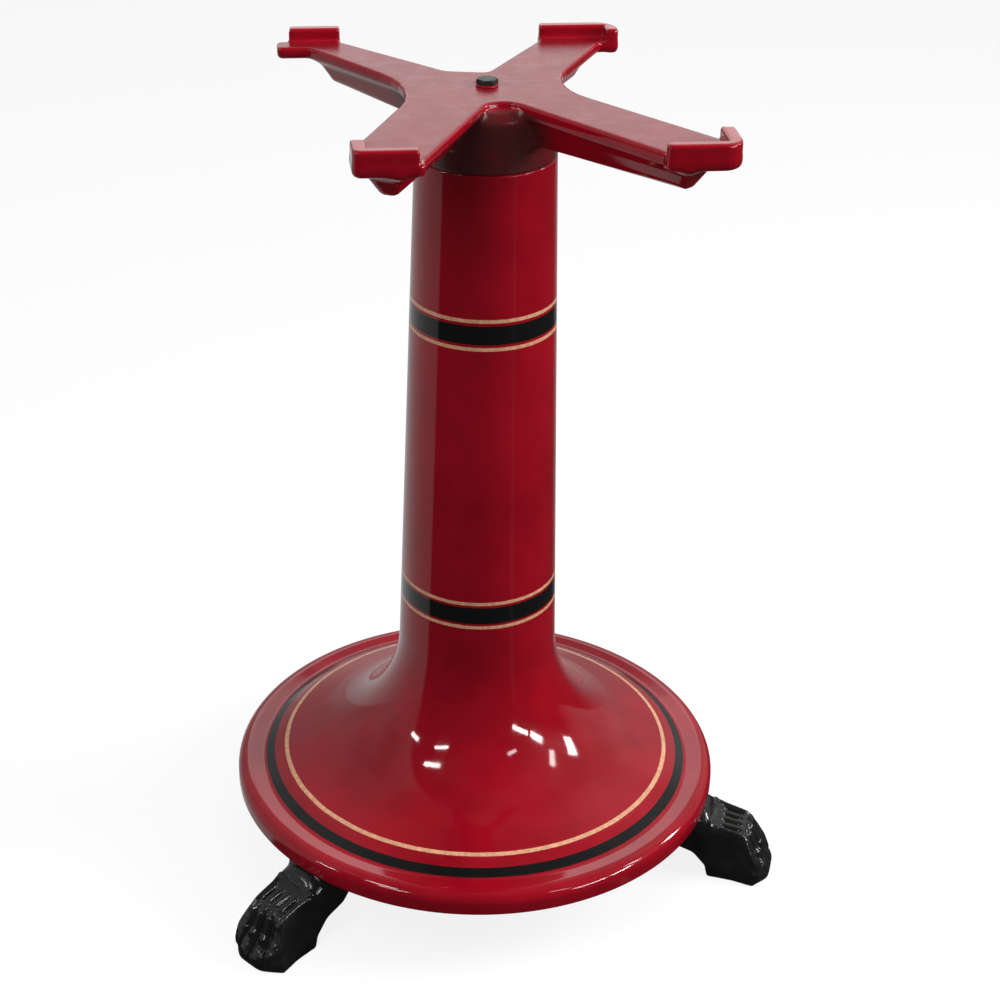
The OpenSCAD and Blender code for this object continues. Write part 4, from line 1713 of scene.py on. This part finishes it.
@dataclass
class Fasteners:
    """The tie bolt with its washers and nuts, and the bolts and washers of the feet.

    Attributes:
        top_washer_z: Height of the top washer's lower face.
        lower_washer_z: Height of the lower washer's lower face.
        nuts: Name and lower and upper face of each nut.
        foot_ring: Distance of the foot bolts from the column's axis.
        foot_gap: Distance between a foot's two bolts.
    """

    tie_flats: float = 17.0
    tie_r: float = 5.0
    tie_end: float = 166.6
    tie_thread_z: float = 215.0
    tie_head: float = 4.5
    washer_r: float = 10.0
    washer_t: float = 2.0
    top_washer_z: float = 799.5
    lower_washer_z: float = 186.0
    nuts: tuple[tuple[str, float, float], ...] = (("tie_nut", 177.6, 186.0), ("lock_nut", 172.6, 177.6))
    foot_flats: float = 16.0
    foot_head: float = 6.4
    foot_r: float = 5.0
    foot_l: float = 36.0
    foot_thread: float = 16.0
    foot_head_z: float = 57.0
    foot_ring: float = 198.0
    foot_gap: float = 30.0

    @staticmethod
    def hexagon(
        flats: float, low: float, high: float, crown_low: bool, crown_high: bool, bore: float = 0.0
    ) -> tuple[np.ndarray, np.ndarray]:
        """A hexagon head or nut with its crowns turned.

        Args:
            flats: Width across flats.
            low: Height of its lower face.
            high: Height of its upper face.
            crown_low: True if the lower corners are turned off.
            crown_high: True if the upper corners are turned off.
            bore: Radius of its bore, or 0.

        Returns:
            Its vertices and quads.
        """
        reach, margin, rounding = flats * 0.62, 1.2, 0.35
        block = CastBlock((-reach, -reach, low - margin), (reach, reach, high + margin), 0.42)
        x, y, z = block.axes()
        sides = [np.abs(x * math.cos(t) + y * math.sin(t)) for t in np.radians([30, 90, 150])]
        prism = np.maximum(np.maximum(sides[0], sides[1]), sides[2]) - flats / 2
        body = slab(prism, z, low, high, rounding, rounding)
        away = np.hypot(x, y)
        fall, rise = 0.5, 0.866  # sine and cosine of the crown's slope of 30 degrees
        cone = (away - flats / 2 + 0.3) * fall
        if crown_high:
            body = np.maximum(body, cone + (z - high) * rise)
        if crown_low:
            body = np.maximum(body, cone + (low - z) * rise)
        if bore:
            body = np.maximum(body, bore - away)
        verts, faces, _ = block.surface(body)
        return verts, faces

    @staticmethod
    def rod(radius: float, low: float, high: float, thread_top: float, pitch: float) -> list[Point]:
        """Profile of a shank with a cut thread at its lower, free end.

        Args:
            radius: Its radius.
            low: Height of its free end.
            high: Height of its other end.
            thread_top: Height at which the thread ends.
            pitch: The thread's pitch.

        Returns:
            The profile.
        """
        axis_r, root, crest = 0.35, radius - 1.0, radius - 0.05
        line: list[Point] = [(axis_r, low), (radius - 1.3, low)]
        for k in range(int((thread_top - low) / pitch)):
            z = low + 0.6 + k * pitch
            line += [(root, z), (crest, z + pitch * 0.45), (crest, z + pitch * 0.58)]
        return line + [(radius, thread_top + 1), (radius, high), (axis_r, high)]

    @staticmethod
    def washer(outer: float, inner: float, low: float, high: float) -> list[Point]:
        """Profile of a washer with rounded edges."""
        return rounded_outline([(inner, low, 0.2), (outer, low, 0.4), (outer, high, 0.7), (inner, high, 0.3)], 20)

    def build(self, effects: Effects, turning: Recipe, placing: Recipe) -> list[bpy.types.Object]:
        """Builds the fasteners and dresses them.

        Args:
            effects: The shared effects.
            turning: The turning tree.
            placing: The tree that sets fasteners on points.

        Returns:
            The pieces.
        """
        blacked = Steel.of(effects, SteelKind.BLACKED).material("blacked_steel")
        zinc = bpy.data.materials[PLATED]
        mild = Steel.of(effects, SteelKind.MILD).material("mild_steel")
        painted = RedEnamel(effects).material("red_enamel_washer")
        head_z = self.top_washer_z + self.washer_t
        hexagon = self.hexagon(self.tie_flats, head_z, head_z + self.tie_head, False, True)
        shank = self.rod(self.tie_r, self.tie_end, head_z + 1, self.tie_thread_z, 1.75)
        head = make_piece("tie_bolt_head", *hexagon, blacked)
        bolt = join_pieces("tie_bolt_piece", [head, turned_piece("tie_bolt_rod", shank, 40, blacked, turning)])
        seat(bolt, ["tie_bolt"])
        pieces = [bolt]
        for name, low, finish, slot in (
            ("top_washer", self.top_washer_z, painted, "red_enamel"),
            ("lower_washer", self.lower_washer_z, zinc, PLATED),
        ):
            profile = self.washer(self.washer_r, self.tie_r + 0.4, low, low + self.washer_t)
            pieces.append(turned_piece(f"{name}_piece", profile, 64, finish, turning))
            seat(pieces[-1], [name])
        for name, low, high in self.nuts:
            shape = self.hexagon(self.tie_flats, low, high, True, True, self.tie_r + 0.1)
            pieces.append(make_piece(f"{name}_piece", *shape, zinc))
            seat(pieces[-1], [name])
        for name in ("bridge_bar", "locating_pin"):
            node = bpy.data.objects[name]
            node.data.materials.clear()
            node.data.materials.append(mild)
        return pieces + self._foot_fasteners(zinc, turning, placing)

    def _foot_fasteners(self, zinc: bpy.types.Material, turning: Recipe, placing: Recipe) -> list[bpy.types.Object]:
        """The bolts and washers under the necks of the feet, placed by the tree.

        Args:
            zinc: Their material.
            turning: The turning tree.
            placing: The tree that sets fasteners on points.

        Returns:
            The two pieces.
        """
        head = make_piece("one_bolt_head", *self.hexagon(self.foot_flats, -self.foot_head, 0, True, False), zinc)
        hanging = self.rod(self.foot_r, -self.foot_l, 0.5, -self.foot_thread, 1.5)
        shank = turned_piece("one_bolt_shank", [(r, -z) for r, z in hanging][::-1], 32, zinc, turning)
        bolt = join_pieces("one_bolt", [head, shank])
        washer = turned_piece("one_washer", self.washer(self.washer_r, 5.3, 0, self.washer_t), 48, zinc, turning)
        pieces = []
        for name, source, stem in (("foot_bolt_set", bolt, "foot_bolt"), ("foot_washer_set", washer, "foot_washer")):
            spots, turns, nodes = [], [], []
            for foot, turn in FEET.items():
                for mark, side in (("a", -1), ("b", 1)):
                    spot = np.array([[self.foot_ring, side * self.foot_gap / 2, self.foot_head_z]])
                    spots.append(turned_points(spot, turn)[0])
                    turns.append(math.radians(turn))
                    nodes.append(f"{stem}_{foot}_{mark}")
            piece = make_piece(name, np.array(spots), [], None)
            give_values(piece, "turn", np.array(turns))
            placing.bake(piece, Fastener=source, Size=1.0, Finish=zinc)
            seat(piece, nodes)
            pieces.append(piece)
            bpy.data.objects.remove(source)
        return pieces


def join_pieces(name: str, parts: Sequence[bpy.types.Object]) -> bpy.types.Object:
    """Joins meshes into one piece.

    Args:
        name: The new piece's name.
        parts: The pieces, which are used up.

    Returns:
        The joined piece.
    """
    verts, faces = [], []
    material = parts[0].data.materials[0]
    for part in parts:
        base = len(verts)
        verts += [tuple(v.co / MM) for v in part.data.vertices]
        faces += [[base + i for i in p.vertices] for p in part.data.polygons]
        bpy.data.objects.remove(part)
    return make_piece(name, np.array(verts), faces, material)


# ---------------------------------------------------------------- studio


class LampUse(Enum):
    """What a lamp is there for: to light the stand, or only to be mirrored in its gloss."""

    LIGHT = "light"
    GLINT = "glint"


# Middle of the stand, in metres.
MIDDLE = (0.0, 0.0, 0.4)


@dataclass(frozen=True)
class Lamp:
    """A rectangular lamp, placed by the spot of the stand that mirrors it. Lengths are in metres.

    Attributes:
        spot: Point that the direction is taken from.
        towards: Direction from the spot to the lamp.
        width: Width.
        height: Height.
        glow: Brightness of its face, where 1 is white.
        roll: Turn about its own direction, in degrees.
        use: What it is there for.
        distance: Distance from the spot.
    """

    spot: Triple
    towards: Triple
    width: float
    height: float
    glow: float
    roll: float = 0.0
    use: LampUse = LampUse.GLINT
    distance: float = 3.0

    def hang(self, name: str) -> None:
        """Puts the lamp in the scene.

        Args:
            name: The lamp's name.
        """
        data = bpy.data.lights.new(name, "AREA")
        data.shape, data.size, data.size_y = "RECTANGLE", self.width, self.height
        data.energy = self.glow * math.pi * self.width * self.height
        made = bpy.data.objects.new(name, data)
        towards = Vector(self.towards).normalized()
        made.location = Vector(self.spot) + towards * self.distance
        roll = Matrix.Rotation(math.radians(self.roll), 4, "Z")
        made.rotation_euler = (towards.to_track_quat("Z", "Y").to_matrix().to_4x4() @ roll).to_euler()
        made.visible_glossy = self.use is LampUse.GLINT
        made.visible_diffuse = self.use is LampUse.LIGHT
        bpy.context.scene.collection.objects.link(made)


@dataclass
class Studio:
    """Pale floor, the room as the gloss mirrors it, its lamps and the camera of the photograph.

    Turns are in radians about the stand, from 0 straight behind it and growing to the right.

    Attributes:
        ahead: Level direction in which the camera looks.
        aside: Level direction to its right.
        sky: Even grey that lights matt surfaces from above.
        ground: Even grey that lights them from below.
        floor_glow: Brightness of the floor to the camera.
        wall_start: Turns between which the grey wall starts, at the left.
        wall_end: Turns between which it ends, at the right.
        wall_glow: Its brightness, and what is added to it high on the right.
        dark: Brightness of the unlit room.
        floor_dark: Brightness of the unlit floor in the gloss.
        floor_grey: Its colour under the lamps.
        place: Where the camera stands, in metres.
        pitch: How far it looks down, in degrees.
        roll: How far it is tilted to the left, in degrees.
        lens: Its focal length, in millimetres.
        shift: How far its picture is shifted sideways.
        lamps: The lamps.
    """

    ahead: Point = (0.1148, 0.9934)
    aside: Point = (0.9934, -0.1148)
    sky: float = 0.27
    ground: float = 0.10
    floor_glow: float = 0.86
    wall_start: Point = (-1.97, -1.86)
    wall_end: Point = (0.95, 1.35)
    wall_glow: Point = (0.36, 0.16)
    dark: float = 0.045
    floor_dark: float = 0.035
    floor_grey: float = 0.16
    place: Triple = (-0.2007, -1.7375, 1.3408)
    pitch: float = 28.583
    roll: float = 1.041
    lens: float = 74.10
    shift: float = 0.0203
    lamps: tuple[Lamp, ...] = (
        Lamp(MIDDLE, (0.856, -0.129, 0.50), 1.3, 1.3, 16.0, use=LampUse.LIGHT),
        Lamp(MIDDLE, (-0.406, -0.516, 0.755), 1.6, 1.2, 4.8, use=LampUse.LIGHT),
        Lamp(MIDDLE, (0.10, -0.15, 0.98), 1.5, 1.5, 3.8, use=LampUse.LIGHT),
        Lamp((-0.069, -0.077, 0.168), (-0.873, -0.232, 0.429), 0.50, 0.14, 30.0, 35.0),
        Lamp((-0.043, -0.094, 0.167), (-0.574, -0.595, 0.563), 0.66, 0.10, 34.0),
        Lamp((-0.053, -0.102, 0.153), (-0.553, -0.391, 0.735), 0.62, 0.16, 34.0, 12.0),
        Lamp((0.034, -0.089, 0.179), (0.671, -0.661, 0.336), 0.86, 0.18, 34.0, 14.0),
        Lamp((0.050, -0.089, 0.170), (0.812, -0.417, 0.407), 0.60, 0.26, 34.0, 20.0),
        Lamp((0.085, -0.080, 0.151), (0.883, 0.104, 0.458), 0.34, 0.60, 30.0, -6.0),
        Lamp((0.024, -0.103, 0.163), (0.458, -0.654, 0.603), 0.42, 0.14, 14.0, -28.0),
        Lamp((0.065, -0.098, 0.150), (0.774, -0.168, 0.611), 0.22, 0.58, 16.0),
        Lamp((0.06, 0.0, 0.80), (0.05, 0.95, 0.31), 2.2, 0.90, 1.15, distance=2.6),
    )

    def _turn(self, s: Sketch, vector: Value) -> Value:
        """How far round the stand a vector points."""
        x, y, _ = s.split(vector)
        right, ahead = (x * way[0] + y * way[1] for way in (self.aside, self.ahead))
        return s.math("ARCTAN2", right, ahead)

    def _mirrored_room(self, s: Sketch, away: Value) -> Value:
        """Brightness of the room as the gloss shows it: a grey wall ahead and left, dark behind, a dim ceiling.

        Args:
            s: The sketch of the world.
            away: The direction of the ray.

        Returns:
            The brightness.
        """
        turn, rise = self._turn(s, away), s.split(away)[2]
        wall = s.ramp(turn, *self.wall_start) * s.fade(turn, *self.wall_end) * s.ramp(rise, -0.6, -0.15, 0.3, 1.0)
        high_right = s.ramp(turn, 0.2, 0.8) * s.ramp(rise, 0.05, 0.35)
        wall = wall * (high_right * self.wall_glow[1] + self.wall_glow[0])
        doorway = s.ramp(abs(turn + 0.2), 0.0, 0.5, 0.2, 0.0) * s.fade(abs(rise - 0.08), 0.0, 0.2)
        corner = s.ramp(turn, *self.wall_end) * s.fade(turn, 1.7, 2.6) * s.ramp(rise, 0.2, 0.5, 0.0, 0.3)
        patches = s.ramp(s.noise(away, 0.55, 3.0, 0.55), 0.3, 0.7, 0.7, 1.3)
        ceiling = s.ramp(rise, 0.80, 0.97, 1.0, 0.22)
        return (wall + doorway + corner) * patches * ceiling + self.dark

    def _light_room(self) -> None:
        """The world: white to the camera, even grey to the matt light, the mirrored room to the gloss."""
        world = bpy.data.worlds.new("studio")
        bpy.context.scene.world = world
        world.use_nodes = True
        s = Sketch(world.node_tree)
        s.tree.nodes.clear()
        away = s.out(s.add("ShaderNodeTexCoord"), "Generated")
        seen, glossy, _ = self._rays(s)
        even = s.ramp(s.split(away)[2], -0.1, 0.1, self.ground, self.sky)
        room = s.add("ShaderNodeMix", {"data_type": "FLOAT"}, Factor=glossy, A=even, B=self._mirrored_room(s, away))
        level = s.out(room, "Result") * (1.0 - seen) + seen
        sky = s.add("ShaderNodeBackground", Color=WHITE, Strength=level)
        s.add("ShaderNodeOutputWorld", Surface=s.out(sky))

    @staticmethod
    def _rays(s: Sketch) -> tuple[Value, Value, Value]:
        """1 for rays that the camera sees directly or through glass, for glossy rays and for diffuse rays."""
        path = s.add("ShaderNodeLightPath")
        seen = s.math("MAXIMUM", s.out(path, "Is Camera Ray"), s.out(path, "Is Transmission Ray"))
        return seen, s.out(path, "Is Glossy Ray"), s.out(path, "Is Diffuse Ray")

    def _lay_floor(self) -> None:
        """The pale floor, which keeps a soft shadow and darkens in the gloss to the right."""
        material = bpy.data.materials.new("studio_floor")
        material.use_nodes = True
        s = Sketch(material.node_tree)
        s.tree.nodes.clear()
        turn = self._turn(s, s.out(s.add("ShaderNodeTexCoord"), "Object"))
        lit = s.ramp(turn, -1.93, -1.87) * s.fade(turn, 0.0, 0.8) * s.ramp(turn, -1.7, -0.6, 0.40, 0.58)
        streak = s.fade(abs(turn - 2.3), 0.0, 0.06) * 0.10
        mirrored = lit + self.floor_dark + streak
        seen, glossy, matt = self._rays(s)
        glow = seen * self.floor_glow + glossy * mirrored + matt * self.ground
        light = s.add("ShaderNodeEmission", Color=WHITE, Strength=glow)
        paint = s.mix(glossy, (self.floor_grey,) * 3, (0.0, 0.0, 0.0))
        grey = s.add("ShaderNodeBsdfDiffuse", Color=paint)
        both = s.add("ShaderNodeAddShader")
        for socket, shader in zip(both.inputs, (light, grey)):
            s.set(socket, s.out(shader))
        s.add("ShaderNodeOutputMaterial", Surface=s.out(both))
        size, under = 14000.0, -0.2
        corners = [(-size, -size, under), (size, -size, under), (size, size, under), (-size, size, under)]
        make_piece("studio_floor", np.array(corners), [(0, 1, 2, 3)], material)

    def _set_camera(self) -> None:
        """The camera, fitted to the photograph by the stand's own edges."""
        pitch, roll = math.radians(self.pitch), math.radians(self.roll)
        ahead, right = Vector((*self.ahead, 0)).normalized(), Vector((*self.aside, 0)).normalized()
        forward = ahead * math.cos(pitch) - Vector((0, 0, math.sin(pitch)))
        up = right.cross(forward)
        right_rolled = right * math.cos(roll) + up * math.sin(roll)
        up_rolled = up * math.cos(roll) - right * math.sin(roll)
        data = bpy.data.cameras.new("photo_camera")
        data.sensor_width, data.lens, data.shift_x = 36.0, self.lens, self.shift
        data.clip_start, data.clip_end = 0.05, 60.0
        camera = bpy.data.objects.new("photo_camera", data)
        turn = Matrix((right_rolled, up_rolled, -forward)).transposed().to_4x4()
        camera.matrix_world = Matrix.Translation(self.place) @ turn
        bpy.context.scene.collection.objects.link(camera)
        bpy.context.scene.camera = camera

    def build(self) -> None:
        """Sets up the room, the floor, the lamps and the camera."""
        bpy.context.scene.view_settings.view_transform = "Standard"
        self._light_room()
        self._lay_floor()
        for number, lamp in enumerate(self.lamps):
            lamp.hang(f"lamp_{number}")
        self._set_camera()


def main() -> None:
    """Builds the stand's looks in order and reports each piece."""
    logging.basicConfig(level=logging.INFO, format="%(name)s: %(message)s")
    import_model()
    effects = Effects()
    turning, placing = turning_recipe(), placing_recipe()
    column = ColumnAndBell()
    column.build(RedEnamel(effects, lines=column.lines, has_inside=True), turning)
    spider = TopSpider()
    # The top is darkened under its arms with painted shade, partly grime.
    spider.build(RedEnamel(effects, rubbed_z=spider.seat_z, shade_and_grime=ShadeAndGrime()))
    ClawFoot().build(BlackEnamel(effects))
    Fasteners().build(effects, turning, placing)
    Studio().build()


if __name__ == "__main__":
    main()
